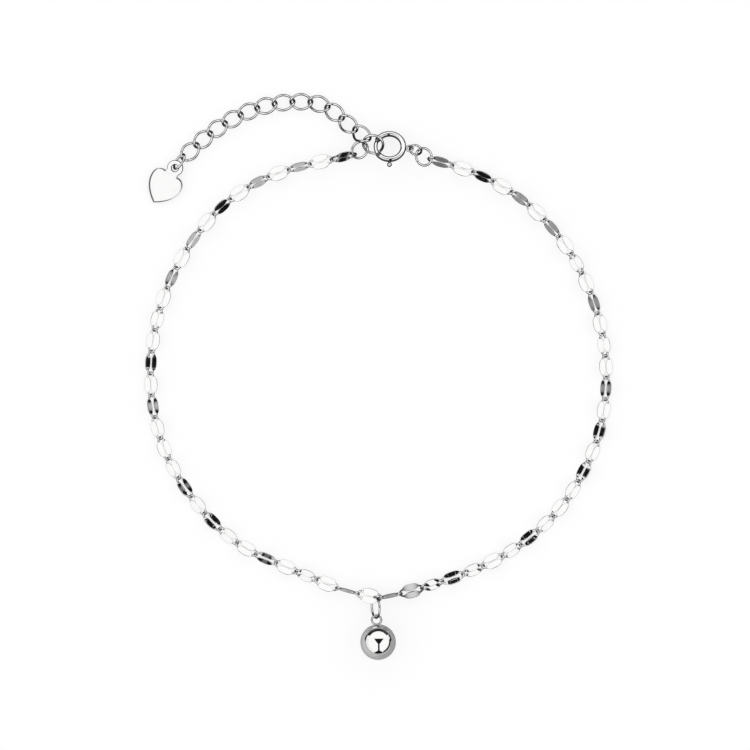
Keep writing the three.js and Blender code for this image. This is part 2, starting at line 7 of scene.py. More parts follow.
import bpy
import numpy as np
from bpy.props import FloatProperty, FloatVectorProperty, PointerProperty
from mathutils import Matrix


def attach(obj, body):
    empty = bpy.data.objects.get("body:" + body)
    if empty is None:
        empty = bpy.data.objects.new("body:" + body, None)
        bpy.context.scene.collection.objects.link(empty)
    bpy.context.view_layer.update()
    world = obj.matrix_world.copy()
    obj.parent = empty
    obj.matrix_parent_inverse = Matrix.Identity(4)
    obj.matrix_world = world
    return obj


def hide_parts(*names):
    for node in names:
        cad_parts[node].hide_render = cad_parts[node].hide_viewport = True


bl_info = {
    "name": "Silver anklet",
    "version": (1, 0, 0),
    "blender": (4, 5, 0),
    "location": "View3D > Sidebar > Anklet",
    "description": "Models the links, rings, clasp, drop and tag of a silver anklet on a pale table",
    "category": "Object",
}

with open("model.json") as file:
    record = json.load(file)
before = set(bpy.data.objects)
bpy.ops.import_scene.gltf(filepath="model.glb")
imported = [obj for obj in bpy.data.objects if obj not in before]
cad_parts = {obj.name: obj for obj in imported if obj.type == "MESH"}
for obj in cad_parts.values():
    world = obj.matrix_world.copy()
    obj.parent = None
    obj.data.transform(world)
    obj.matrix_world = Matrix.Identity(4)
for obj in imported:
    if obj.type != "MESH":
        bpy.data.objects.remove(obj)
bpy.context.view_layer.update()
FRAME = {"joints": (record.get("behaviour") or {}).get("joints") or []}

MM = 0.001
UP = np.array((0.0, 0.0, 1.0))
RIGHT = np.array((1.0, 0.0, 0.0))

# Clearances, and how the lip links lie, as in the solids
RUNNING_GAP = 0.06 * MM
EYE_SPARE = 0.12 * MM
JUNCTION_SPARE = 0.1 * MM
LIP_STEP_ROLL = 36
LIP_END_LIFT = 0.12 * MM
TOUCH_SHARE = 0.93  # a link's end wire lies this share of its radius past the next link's wire
LEAF_BLEND = 6  # how sharply a leaf's shoulder turns into the round wire
LEAF_POWER = 2.6  # how squarely a leaf ends
LEAF_DRAW = 0.8  # how much of the gap that turned leaves would leave between them is closed

# How each ring hooks into the one before it
CLASP_PLACE = np.array((1.41, 33.99, 1.72)) * MM
CLASP_TILT = -20
CLASP_EYE_AT = 354
END_RING_HOOK = {"at": 171, "roll": -52, "slack": 0.55 * MM}
LEFT_RING_HOOK = {"at": 34, "roll": 50, "slack": 0.08 * MM}
CLASP_LINK_HOOK = {"at": -14, "roll": 62, "slack": 0.02 * MM}
RIGHT_RING_HOOK = {"at": -34, "roll": -60, "slack": 0.1 * MM}
LEFT_CHAIN_AT = 15
RIGHT_CHAIN_AT = 20
EXTENDER_AT = -36
FIRST_CURB_ROLL = 5
FIRST_CURB_SLACK = 0.2 * MM
CURB_COUNT = 12
CURB_SLACK = 0.15 * MM
CURB_REST_SHARE = 0.31
TAG_HOOK_AT = 12
TAG_HOOK_SLACK = 0.2 * MM
TAG_SEAT_DEPTH = 0.1 * MM
TAG_LINK_ROLL = 48
HEART_AZIMUTH = 237.4
DROP_AZIMUTH = 274
DROP_RISE = 6
PENDANT_RING_ROLL = 68

# The chain's route as chosen points: angle round the loop, distance from its middle in mm, own twist
JUNCTION = (269.9, 33.5, -40)
JUNCTION_HEIGHT = 1.42 * MM
TWIST_AT_LEFT_RING = 27
TWIST_AT_RIGHT_RING = 16
LEFT_ROUTE = [
    (118, 33.8, 21), (134, 34.5, 20), (151, 34.4, 15), (168, 34.4, 8), (185, 34.4, 6), (201, 34.2, 1),
    (217, 33.6, 1), (231, 33.1, -1), (243, 32.2, -3), (252, 32.2, -14), (261, 32.85, -38),
]
RIGHT_ROUTE = [
    (278, 32.85, -27), (288, 32.4, -8), (300, 32.7, -9), (312, 33.2, -3), (326, 33.7, 0), (343, 34.0, 5),
    (0, 33.9, 6), (17, 33.8, 14), (34, 33.8, 17), (50, 33.7, 23), (64, 33.3, 25),
]
EXTENDER_ROUTE = np.array([
    (-4.2, 36.9, 0.3), (-8.7, 40.3, 0), (-14.5, 40.65, 0), (-20.0, 39.2, 0), (-24.9, 36.4, 0),
    (-28.9, 32.9, 0), (-32.0, 29.6, 0),
]) * MM

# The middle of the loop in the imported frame: the clasp's hinge stands at the middle of the clasp
LOOP_MIDDLE = np.array(FRAME["joints"][0]["pos_m"]) - CLASP_PLACE

# What the leaves of a lip link face, in degrees from the vertical: the white tent, the dark gap at the
# horizon, the table further and further below it, or whatever the link faces as it lies. The ones painted
# grey face the tent too. Links are counted from the chain's start, and those not named face the tent.
LEAF_FACES = {"tent": 54, "gap": 93, "table rim": 102.5, "table": 105, "near table": 120, "painted_grey": 54,
              "as it lies": math.nan}
LEFT_LEAVES = {"gap": (1, 7, 15, 23), "table rim": (21, 26), "table": (5, 11, 17),
               "near table": (3, 9), "as it lies": (30, 31)}
RIGHT_LEAVES = {"gap": (4, 8, 12, 14, 28), "table rim": (30,), "table": (16, 20, 24, 26),
                "painted_grey": (2,), "as it lies": (1,)}
# painted grey: these leaves are painted darker all over, a grey that stands in for a dimmer reflection
PAINTED_GREY_LEAF_SHARE = 0.79
VIEW_LEAN = 3.9  # how far off the vertical a link is seen, from the camera over the loop's middle
LEAST_FLAT = 0.012 * MM  # half width of the flat that stays even where the wire is round
LEAF_STARTS, LEAF_SETTLES = 0.15, 0.5  # shares of the leaf between which its wire is pressed flat
CUT_END = 0.9  # radius of a cut wire's end, as a share of the wire's
DOME_LEAST = 0.05  # radius at the very end of a domed bar, as a share of the bar's
SOLID_WIRE_SIDES = 5
SOLID_WIRE_BITE = 0.02 * MM  # how far the links of the solids bite into each other

# The clasp, in degrees round its middle: the tube, the gate at rest, and how far the gate slides
CLASP_FROM = 213
CLASP_TO = 510
GATE_FROM = 142
GATE_TO = 284
KNOB_AT = 270
GATE_TRAVEL = 52
SEAM_ANGLE = 0.01
MOUTH_ROWS = 15  # stations at the tube's first end that are painted dark
FAR_MOUTH_ROWS = 5  # and at its other end
POLE_SHARE = 0.04  # the knob's radius at its pole, as a share of the stem's

# Where the heart's curves bend, as shares of its half width (X) and of its height to the neck (Y)
HEART_SHARES = {"hip": (0.6, 0.18), "flank": (1, 0.44), "shoulder": (1, 0.72), "top": (1, 0.92),
                "crown": (0.7, 1.03)}
HEART_MIDDLE = 0.6  # height of the point that the faces are drawn towards, as a share of the neck's
HEART_DRAWS = (0.05, 0.3, 0.6, 0.9)  # how far out from it each round of a face lies
HEART_DARK_SIDE = np.array((-0.62, -0.78))  # where the heart's edge is painted darkest
HEART_PAINTED_SHADE = (0.3, 0.45, 0.2, 0.75)  # painted shade on the edge: middling, more to the dark side, least, most
TAB_BITE = 0.3 * MM
TAB_PROUD = 0.003 * MM  # just enough for the tab's foot to cover the heart's edge at the neck
TAB_JOIN = 0.6  # the tab's foot begins where its edge points this much towards the heart
TAB_LEAST = 1.5  # the foot reaches at least this many hole radii from the hole's middle
# painted shade on the tab's rounded edge, and in its hole
TAB_PAINTED_SHADE = 0.36
HOLE_PAINTED_SHADE = 0.42

# The metal. Its painted shade is darkest where the polish attribute is below the first value, and gone
# above the second
PAINTED_SHADE_TO = 0.7
PAINTED_SHADE_FROM = 0.86
WIRE_SHADE_POWER = 1.6  # the upward share of a wire's normal, to this power, is how little shade is painted on it
WEAR_NOISE = (0.35, 0.75)  # the part of the noise that counts, and the roughness that it spans
WEAR_RANGE = (0.6, 1.8)
DENT_GRAIN = 0.35  # the soft dents are coarser than the wear: the share of its noise scale
BELT_PAINTED_SHADE = ((0.1, 0.35), (0.76, 1))  # painted shade on the ball by the upward share of its normal: darker round the belt that faces level

# The table, and the white tent overhead with its dark gap
TABLE_RADIUS = 0.6
TABLE_GLOW = 1.09  # how white the table is to the eye
TABLE_SHADE = 0.28  # share of the table that takes the anklet's shade
TABLE_IN_METAL = 0.47  # painted grey of the table in the metal's reflections, on the right
# painted paler grey of the table in the metal's reflections, on the left, as if more light fell there
TABLE_IN_METAL_LEFT = 0.7
TABLE_FADE = (-12 * MM, 4 * MM)  # where across the table the one turns into the other
GLOOM_FROM = -34 * MM  # behind this line the table is painted dark where a reflection meets it at a grazing angle
GLOOM_STEP = 2 * MM
GLOOM_FACING = (0.73, 0.81)  # how far a reflection leans over as the table in it goes dark
# the painted dark of the table in grazing reflections behind the line
GLOOM = 0.01
TENT_MIDDLE = (0.015, 0.07)
TENT_EDGE = 0.69
TENT_FALL = 0.16  # how much darker the tent is at its edge
TENT_FALL_FROM = 0.46
TENT_BANDS = ((92, 58, 0.12), (-28, 38, 0.085))  # azimuth, half the angle it spans, thickness
BAND_END = 0.05  # how softly a band ends, in the cosine of the angle from its middle
HORIZON_LIGHT = 0.5
GAP_MIDDLE = 0.025  # the gap overhead is a funnel on a stem and a foot: top, waist, ankle
GAP_STEM = 0.046
GAP_WAIST = -0.14
GAP_ANKLE = -0.5
GAP_FLARE = 0.76
GAP_FOOT_FLARE = 1.6
GAP_TOP = 0.165
GAP_LIGHT = 0.01
SHARP, SOFT = 0.006, 0.008  # half the width of an edge in the tent

# The photograph: its width in mm, and where its middle lies from the middle of the loop
PHOTO_WIDTH = 112.5 * MM
PHOTO_MIDDLE = np.array((-0.75, -0.15, 0)) * MM
CAMERA_HEIGHT = 0.5
SENSOR = 36.0
CLIP_START = 0.01


def length(name, description, millimetres):
    """A size in the sidebar, given in mm and kept in metres"""
    return FloatProperty(name=name, description=description, default=millimetres * MM, min=0,
                         unit="LENGTH", precision=5)


def colour(name, description, value):
    """A colour in the sidebar"""
    return FloatVectorProperty(name=name, description=description, default=value, subtype="COLOR",
                               min=0, max=1)


def share(name, description, value):
    """A plain number from 0 to 1 in the sidebar"""
    return FloatProperty(name=name, description=description, default=value, min=0, max=1,
                         subtype="FACTOR")


class ANKLET_PG_chain(bpy.types.PropertyGroup):
    """Sizes of the lip links"""

    lip_length: length("Link length", "Outside length of a lip link", 3.8)
    wire: length("Wire radius", "Radius of the round wire at a link's eyes", 0.15)
    leaf_offset: length("Leaf offset", "From the link's middle line to the middle of a leaf", 0.59)
    leaf_half_width: length("Leaf half width", "Half the width of a pressed leaf", 0.55)
    leaf_half_length: length("Leaf half length", "Half the length of a pressed leaf", 1.2)
    leaf_half_thickness: length("Leaf half thickness", "Half the thickness of a pressed leaf", 0.052)
    oval_power: FloatProperty(name="Oval power", description="2 is an ellipse, more is blunter",
                              default=3.08, min=2, max=6)


class ANKLET_PG_rings(bpy.types.PropertyGroup):
    """Radius of each round ring's middle line, and of its wire"""

    jump: length("Jump ring", "Radius of the chain's two end rings", 1.31)
    jump_wire: length("Jump ring wire", "Wire radius of the chain's two end rings", 0.18)
    end: length("Clasped ring", "Radius of the ring that the clasp closes on", 1.5)
    end_wire: length("Clasped ring wire", "Its wire radius", 0.2)
    link: length("Clasp link", "Radius of the small ring in the clasp's eye", 0.88)
    link_wire: length("Clasp link wire", "Its wire radius", 0.17)
    drop: length("Drop ring", "Radius of the ring that carries the ball", 1.56)
    drop_wire: length("Drop ring wire", "Its wire radius", 0.16)


class ANKLET_PG_clasp(bpy.types.PropertyGroup):
    """Sizes of the spring ring clasp"""

    radius: length("Clasp radius", "Radius of the tube's middle line", 2.07)
    tube: length("Tube radius", "Outside radius of the tube", 0.43)
    bore: length("Bore radius", "Inside radius of the tube", 0.36)
    gate: length("Gate radius", "Radius of the sliding gate", 0.29)
    knob: length("Knob radius", "Radius of the knob's ball", 0.37)
    stem: length("Stem radius", "Radius of the knob's stem", 0.15)
    slot_clearance: length("Slot clearance", "Room beside the stem in its slot", 0.07)
    eye: length("Eye radius", "Radius of the eye's middle line", 0.44)
    eye_wire: length("Eye wire", "Wire radius of the eye", 0.16)
    solder: length("Solder depth", "How far the eye sinks into the tube", 0.06)


class ANKLET_PG_extender(bpy.types.PropertyGroup):
    """Sizes of the curb links, the tag's link and the tag"""

    half_length: length("Curb half length", "Half the length of a curb link's middle line", 1.63)
    half_width: length("Curb half width", "Half its width", 1.13)
    wire: length("Curb wire", "Wire radius of a curb link", 0.185)
    turn: FloatProperty(name="Curb turn", description="How far each end is turned out of the plane",
                        default=math.radians(-42), subtype="ANGLE")
    tag_half_length: length("Tag link half length", "Half the length of the tag's link", 1.26)
    tag_half_width: length("Tag link half width", "Half its width", 0.74)
    tag_wire: length("Tag link wire", "Wire radius of the tag's link", 0.17)
    thickness: length("Heart thickness", "Thickness of the heart", 0.45)
    tag_length: length("Tag length", "From the heart's tip to the middle of the hole", 6.1)
    heart_half_width: length("Heart half width", "Half the width of the heart", 2.55)
    neck_half_width: length("Neck half width", "Half the width of the neck", 0.98)
    neck_at: length("Neck height", "From the heart's tip to its neck", 5.07)
    tab: length("Tab radius", "Radius of the tab round the hole", 1.2)
    hole: length("Hole radius", "Radius of the hole", 0.525)
    edge: length("Edge round", "Radius of the plate's rounded edge", 0.05)
    # the painted shade on the heart's edge reaches this far in
    rim: length("Heart rim", "How far the film reaches in from the heart's edge", 0.32)


class ANKLET_PG_drop(bpy.types.PropertyGroup):
    """Sizes of the ball drop"""

    ball: length("Ball radius", "Radius of the ball", 2.65)
    eye: length("Eye radius", "Radius of the ball's eye", 0.7)
    eye_wire: length("Eye wire", "Wire radius of the ball's eye", 0.16)
    sink: length("Eye sink", "How far the eye's wire is soldered in", 0.16)


class ANKLET_PG_looks(bpy.types.PropertyGroup):
    """Colours, polish and light"""

    silver: colour("Silver", "Colour of polished silver", (0.93, 0.93, 0.925))
    # painted shade: the dark colour laid on the flanks of the wire and on edges
    painted_shade: colour("Dark film", "Colour of the film on the flanks of the wire", (0.13, 0.13, 0.132))
    polish: share("Wire roughness", "Roughness of the wire and the leaves", 0.05)
    mirror: share("Ball roughness", "Roughness of the ball", 0.025)
    satin: share("Tag roughness", "Roughness of the tag's plate", 0.09)
    table: colour("Table", "Colour of the table", (0.97, 0.97, 0.97))
    tent: FloatProperty(name="Tent light", description="Brightness of the white tent overhead",
                        default=1.04, min=0)


class Place(NamedTuple):
    """A piece's middle and its three square directions: along, side and the normal of its plane"""

    centre: np.ndarray
    along: np.ndarray
    side: np.ndarray
    normal: np.ndarray

    def world(self, local):
        """The middle, plus each local coordinate times its own direction"""
        return self.centre + local @ np.stack((self.along, self.side, self.normal))

    def heading(self, degrees):
        """The direction at an angle in the plane: along times cosine plus side times sine"""
        angle = math.radians(degrees)
        return math.cos(angle) * self.along + math.sin(angle) * self.side

    def on_ring(self, radius, degrees):
        """A point on the middle line of a ring that lies in the plane"""
        return self.centre + radius * self.heading(degrees)


def unit(vector):
    """A vector, or each row of an array, divided by its own length"""
    return vector / np.linalg.norm(vector, axis=-1, keepdims=True)


def turned(vector, axis, degrees):
    """A vector square to an axis, turned about it: v cos + (axis x v) sin"""
    angle = np.radians(degrees)
    return vector * np.cos(angle) + np.cross(axis, vector) * np.sin(angle)


def place_at(centre, along, side):
    """A place whose plane holds two directions"""
    x = unit(along)
    z = unit(np.cross(x, side))
    return Place(centre, x, np.cross(z, x), z)


def rolled_place(centre, along, degrees):
    """A place whose side is level, and then rolled about its along direction"""
    x = unit(along)
    return place_at(centre, x, turned(unit(np.cross(UP, x)), x, degrees))


def heading_of(azimuth, rise=0.0):
    """A direction from its azimuth and its rise in degrees"""
    level, climb = math.radians(azimuth), math.radians(rise)
    return np.array((math.cos(level) * math.cos(climb), math.sin(level) * math.cos(climb),
                     math.sin(climb)))


def hooked_place(host, host_r, host_wire, ring_r, ring_wire, hook):
    """A ring hooked into another: both radii less both wires and the gap lie between their middles"""
    out = host.heading(hook["at"])
    reach = host_r + ring_r - host_wire - ring_wire - RUNNING_GAP - hook["slack"]
    side = turned(np.cross(host.normal, out), out, hook["roll"])
    return place_at(host.centre + reach * out, out, side)


def polar(at, radius):
    """A point of the plane from its angle and its distance in mm"""
    angle = math.radians(at)
    return np.array((math.cos(angle), math.sin(angle), 0)) * radius * MM


def clasp_places(scene):
    """The clasp and the rings hooked to it, one from the other"""
    rings, clasp = scene.anklet_rings, scene.anklet_clasp
    places = {"clasp": rolled_place(CLASP_PLACE, RIGHT, CLASP_TILT)}
    places["end"] = hooked_place(places["clasp"], clasp.radius, clasp.gate, rings.end, rings.end_wire,
                                 END_RING_HOOK)
    places["left"] = hooked_place(places["end"], rings.end, rings.end_wire, rings.jump, rings.jump_wire,
                                  LEFT_RING_HOOK)
    eye_middle = clasp.radius + clasp.tube - clasp.solder + clasp.eye + clasp.eye_wire
    places["eye"] = places["clasp"]._replace(centre=places["clasp"].on_ring(eye_middle, CLASP_EYE_AT))
    places["link"] = hooked_place(places["eye"], clasp.eye, clasp.eye_wire, rings.link,
                                  rings.link_wire, CLASP_LINK_HOOK)
    places["right"] = hooked_place(places["link"], rings.link, rings.link_wire, rings.jump,
                                   rings.jump_wire, RIGHT_RING_HOOK)
    return places


def smooth_route(points, steps=60):
    """Points along a curve through the given ones, with the running length and the knot number of each.

    Between two knots it is the cubic whose slope at a knot is half the step between its neighbours.
    """
    padded = np.vstack((2 * points[0] - points[1], points, 2 * points[-1] - points[-2]))
    t = np.linspace(0, 1, steps, endpoint=False)[:, None]
    start, end = padded[1:-2, None], padded[2:-1, None]
    slope_in = (padded[2:-1, None] - padded[:-3, None]) / 2
    slope_out = (padded[3:, None] - padded[1:-2, None]) / 2
    dense = ((2 * t**3 - 3 * t**2 + 1) * start + (t**3 - 2 * t**2 + t) * slope_in
             + (3 * t**2 - 2 * t**3) * end + (t**3 - t**2) * slope_out)
    line = np.vstack((dense.reshape(-1, points.shape[1]), points[-1]))
    run = np.concatenate(([0], np.cumsum(np.linalg.norm(np.diff(line, axis=0), axis=1))))
    return line, run, np.linspace(0, len(points) - 1, len(line))


def at_run(line, run, where):
    """The points of a dense line at given running lengths"""
    return np.stack([np.interp(where, run, line[:, k]) for k in range(line.shape[1])], axis=-1)


class Links(NamedTuple):
    """The lip links of one chain, a row each: place, half length, and how the leaves are pressed"""

    middle: np.ndarray
    along: np.ndarray
    side: np.ndarray
    normal: np.ndarray
    half: np.ndarray
    leaf_turn: np.ndarray
    leaf_polish: np.ndarray


def pressed_leaves(rolls, leaves):
    """How far each link's leaves are pressed out of its plane, in degrees, and how much painted grey they
    carry.

    A leaf tilted by t is seen to face 2t from the vertical, less the lean of the view where it tilts
    towards the middle of the loop. The turn is the link's roll less the tilt wanted.
    """
    faced = np.full(len(rolls), float(LEAF_FACES["tent"]))
    polish = np.ones(len(rolls))
    for way, orders in leaves.items():
        picked = np.array(orders) - 1
        faced[picked] = LEAF_FACES[way]
        polish[picked] = PAINTED_GREY_LEAF_SHARE if way == "painted_grey" else 1
    tilt = (faced + VIEW_LEAN * np.sign(rolls)) / 2 * np.sign(rolls)
    return np.where(np.isnan(faced), 0, rolls - tilt), polish


def lip_links(chain, start, end, rows, reaches, first_sign, leaves):
    """The links between two end points, each as long as its two contacts ask.

    A link's roll is the chain's own twist plus the step roll, to one side and the other in turn. Each
    contact is as high as the deeper of its two links needs: leaf width times the sine of the roll.
    """
    points = np.array([start[0], *(polar(at, radius) for at, radius, _ in rows), end[0]])
    twists = np.array([start[1], *(twist for _, _, twist in rows), end[1]])
    line, run, knots = smooth_route(points[:, :2])
    end_reach = chain.wire * TOUCH_SHARE
    solid_reach = chain.wire * math.cos(math.pi / SOLID_WIRE_SIDES) - SOLID_WIRE_BITE
    count = round(run[-1] / (chain.lip_length - 2 * (chain.wire + solid_reach)))
    order = np.arange(count)
    knot = np.interp((order + 0.5) / count * run[-1], run, knots)
    rolls = np.interp(knot, np.arange(len(twists)), twists)
    rolls = rolls + LIP_STEP_ROLL * first_sign * np.where(order % 2, -1, 1)
    leaf = chain.leaf_offset + chain.leaf_half_width
    depth = np.maximum(chain.wire, leaf * np.abs(np.sin(np.radians(rolls))))
    contacts = np.zeros((count + 1, 3))
    contacts[:, :2] = at_run(line, run, np.arange(count + 1) / count * run[-1])
    contacts[:, 2] = np.maximum(np.append(depth[:1], depth), np.append(depth, depth[-1:]))
    contacts[0, 2], contacts[-1, 2] = start[0][2], end[0][2]
    contacts[1, 2] = max(contacts[1, 2], 2 * (depth[0] + LIP_END_LIFT) - start[0][2])
    contacts[-2, 2] = max(contacts[-2, 2], 2 * (depth[-1] + LIP_END_LIFT) - end[0][2])
    span = np.diff(contacts, axis=0)
    chord = np.linalg.norm(span, axis=1)
    out = unit(span)
    near, far = np.full(count, end_reach), np.full(count, end_reach)
    near[0], far[-1] = reaches
    middle = contacts[:-1] + out * ((chord + far - near) / 2)[:, None]
    level = unit(np.cross(UP, out))
    side = turned(level, out, -rolls[:, None])
    return Links(middle, out, side, np.cross(out, side), (chord + near + far) / 2,
                 *pressed_leaves(rolls, leaves))


def reach_at_junction(chain):
    """How far a chain's last link goes past the point where the two chains meet"""
    return chain.wire + RUNNING_GAP / 2 + JUNCTION_SPARE


def chain_links(scene):
    """Both chains, from their rings to the junction above the drop"""
    chain, rings = scene.anklet_chain, scene.anklet_rings
    places = clasp_places(scene)
    ring_reach = rings.jump_wire + chain.wire + RUNNING_GAP + EYE_SPARE
    junction_reach = reach_at_junction(chain)
    junction = (polar(*JUNCTION[:2]) + UP * JUNCTION_HEIGHT, JUNCTION[2])
    left_end = (places["left"].on_ring(rings.jump, LEFT_CHAIN_AT), TWIST_AT_LEFT_RING)
    right_end = (places["right"].on_ring(rings.jump, RIGHT_CHAIN_AT), TWIST_AT_RIGHT_RING)
    left = lip_links(chain, left_end, junction, LEFT_ROUTE, (ring_reach, junction_reach), 1,
                     LEFT_LEAVES)
    right = lip_links(chain, junction, right_end, RIGHT_ROUTE, (junction_reach, ring_reach), -1,
                      RIGHT_LEAVES)
    return left, right


def drop_places(scene):
    """The drop's ring in the last eye of the left chain, and the ball with its eye in that ring"""
    chain, rings, drop = scene.anklet_chain, scene.anklet_rings, scene.anklet_drop
    left, _ = chain_links(scene)
    in_eye = 2 * reach_at_junction(chain) + chain.wire + 2 * RUNNING_GAP + rings.drop_wire
    hang = left.middle[-1] + left.along[-1] * (left.half[-1] - in_eye)
    heading = heading_of(DROP_AZIMUTH, DROP_RISE)
    ring = rolled_place(hang + heading * rings.drop, heading, PENDANT_RING_ROLL)
    eye_in_ring = rings.drop - rings.drop_wire - drop.eye_wire - RUNNING_GAP
    eye_end = ring.centre + heading * eye_in_ring
    reach = drop.ball - drop.sink + 2 * drop.eye + drop.eye_wire
    rise = math.degrees(math.asin((drop.ball - eye_end[2]) / reach))
    ball_heading = heading_of(DROP_AZIMUTH, rise)
    return ring, rolled_place(eye_end + ball_heading * reach, -ball_heading, 0)


def extender_places(scene):
    """The curb links along their route, the tag's link and the tag"""
    rings, part = scene.anklet_rings, scene.anklet_extender
    end = clasp_places(scene)["end"]
    rest = part.wire + part.half_width * CURB_REST_SHARE
    points = np.vstack((end.on_ring(rings.end, EXTENDER_AT), EXTENDER_ROUTE + UP * rest))
    line, run, _ = smooth_route(points)
    first_reach = rings.end_wire + 2 * part.wire + RUNNING_GAP + FIRST_CURB_SLACK
    pitch = 2 * part.half_length - 2 * part.wire - RUNNING_GAP - CURB_SLACK
    middle = part.half_length + part.wire - first_reach + np.arange(CURB_COUNT) * pitch
    along = at_run(line, run, middle + part.half_length) - at_run(line, run, middle - part.half_length)
    rolls = [FIRST_CURB_ROLL] + [0] * (CURB_COUNT - 1)
    curbs = [rolled_place(*row) for row in zip(at_run(line, run, middle), along, rolls)]
    hook_angle = math.radians(-TAG_HOOK_AT)
    hook = curbs[-1].world(oval_line(part.half_length, part.half_width, part.turn, hook_angle))
    heading = heading_of(HEART_AZIMUTH)
    near = hook - heading * (part.wire + part.tag_wire + RUNNING_GAP + TAG_HOOK_SLACK)
    near[2] = part.tag_wire + part.tag_half_width * abs(math.sin(math.radians(TAG_LINK_ROLL)))
    link = rolled_place(near + heading * part.tag_half_length, heading, TAG_LINK_ROLL)
    hole = near + heading * (2 * part.tag_half_length - TAG_SEAT_DEPTH)
    dip = math.degrees(math.asin((hole[2] - part.thickness / 2) / part.tag_length))
    down = heading_of(HEART_AZIMUTH, -dip)
    tag = place_at(hole + down * part.tag_length, np.cross(UP, down), -down)
    return curbs, link, tag


# Surfaces: each is a set of points and faces, in a piece's own place


class Shell(NamedTuple):
    """Points (n, 3), faces as a list of whole arrays of quads or triangles, and its painted shade.

    The share is 1 where the metal is left bright and 0 where shade is painted on. Where none is given,
    it is how far a point faces up, so that shade is painted on the flanks.
    """

    points: np.ndarray
    faces: list
    polish: np.ndarray | None = None


def grid_faces(rows, columns, closed_rows=True, count=1):
    """Quads between the neighbours of a grid whose columns close, for a number of like grids"""
    i = np.arange(rows if closed_rows else rows - 1)[:, None]
    j = np.arange(columns)[None, :]
    below, beside = (i + 1) % rows, (j + 1) % columns
    quads = np.stack((i * columns + j, below * columns + j, below * columns + beside,
                      i * columns + beside), axis=-1).reshape(-1, 4)
    starts = np.arange(count)[:, None, None] * (rows * columns)
    return (quads + starts).reshape(-1, 4)


def fan(ring, hub):
    """Triangles from a hub point to each side of a ring of points"""
    return np.stack((np.full(len(ring), hub), ring, np.roll(ring, -1)), axis=-1)


def closed_ends(grid):
    """A shell from a grid of rings: quads between them and a fan over the first and the last ring"""
    rows, columns = grid.shape[:2]
    points = np.vstack((grid.reshape(-1, 3), grid[0].mean(axis=0), grid[-1].mean(axis=0)))
    first = np.arange(columns)[::-1]
    last = np.arange(columns) + (rows - 1) * columns
    caps = np.vstack((fan(first, rows * columns), fan(last, rows * columns + 1)))
    return Shell(points, [grid_faces(rows, columns, closed_rows=False), caps[:, ::-1]])


def tube(line, hint, radius, columns=20, closed=True):
    """A round tube: its middle line plus radius times (outward cosine + across sine).

    Outward is the hint made square to the line, and across is outward x tangent.
    """
    if closed:
        tangent = unit(np.roll(line, -1, axis=0) - np.roll(line, 1, axis=0))
    else:
        tangent = unit(np.gradient(line, axis=0))
    outward = unit(hint - (hint * tangent).sum(axis=1, keepdims=True) * tangent)
    across = np.cross(outward, tangent)
    angle = np.linspace(0, 2 * np.pi, columns, endpoint=False)[None, :, None]
    thick = np.broadcast_to(radius, (len(line),))[:, None, None]
    grid = line[:, None] + thick * (outward[:, None] * np.cos(angle) + across[:, None] * np.sin(angle))
    if closed:
        return Shell(grid.reshape(-1, 3), [grid_faces(len(line), columns)])
    return closed_ends(grid)


def oval_line(half_length, half_width, turn, angle):
    """Half length times cosine, half width times sine, turned out of the plane by turn times cosine"""
    across = half_width * np.sin(angle)
    lean = turn * np.cos(angle)
    return np.stack((half_length * np.cos(angle), across * np.cos(lean), across * np.sin(lean)), axis=-1)


def oval(half_length, half_width, wire, turn=0.0, stations=96):
    """A closed link of round wire along a turned oval"""
    angle = np.linspace(0, 2 * np.pi, stations, endpoint=False)
    line = oval_line(half_length, half_width, turn, angle)
    return tube(line, line, wire)


def cut_ring(radius, wire, cut_at, cut=0.02 * MM, stations=96):
    """A ring of round wire whose two ends butt together, a little thinned, with a hair between them"""
    gap = cut / radius
    angle = math.radians(cut_at) + np.linspace(gap / 2, 2 * np.pi - gap / 2, stations)
    line = radius * np.stack((np.cos(angle), np.sin(angle), 0 * angle), axis=-1)
    from_end = np.minimum(np.arange(stations), np.arange(stations)[::-1])
    thick = wire * np.where(from_end == 0, CUT_END, 1.0)
    return tube(line, line, thick, closed=False)


def arc_bar(radius, wire, start, end, stations=90):
    """A bent bar with domed ends: its radius falls with the root of the distance to an end"""
    angle = np.radians(np.linspace(start, end, stations))
    line = radius * np.stack((np.cos(angle), np.sin(angle), 0 * angle), axis=-1)
    run = radius * (angle - angle[0])
    to_end = np.minimum(run, run[-1] - run)
    dome = np.sqrt(np.clip(1 - (1 - to_end / wire) ** 2, 0, 1))
    thick = wire * np.where(to_end < wire, np.maximum(dome, DOME_LEAST), 1)
    return tube(line, line, thick, columns=24, closed=False)


def lathe(along, radius, columns=64):
    """A profile turned about X, from its lowest to its highest place, with fans over its ends"""
    angle = np.linspace(0, 2 * np.pi, columns, endpoint=False)[None, :]
    grid = np.stack((np.broadcast_to(along[:, None], (len(along), columns)),
                     radius[:, None] * np.cos(angle), radius[:, None] * np.sin(angle)), axis=-1)
    return closed_ends(grid)


def moved(shell, place):
    """A shell taken from its place's own coordinates into the loop's"""
    return shell._replace(points=place.world(shell.points))


def leaf_section(corners=7, flat_share=0.9):
    """Round a flat section with half-round edges: the angle of each point, and its place on the flat.

    The edges are two half circles, and two more points stand on each flat face, near its ends.
    """
    half_turn = np.linspace(-np.pi / 2, np.pi / 2, corners)
    up = np.full(2, np.pi / 2)
    angle = np.concatenate((half_turn, up, half_turn + np.pi, up + np.pi))
    flats = np.array((flat_share, -flat_share))
    along_flat = np.concatenate((np.ones(corners), flats, -np.ones(corners), -flats))
    return angle, along_flat


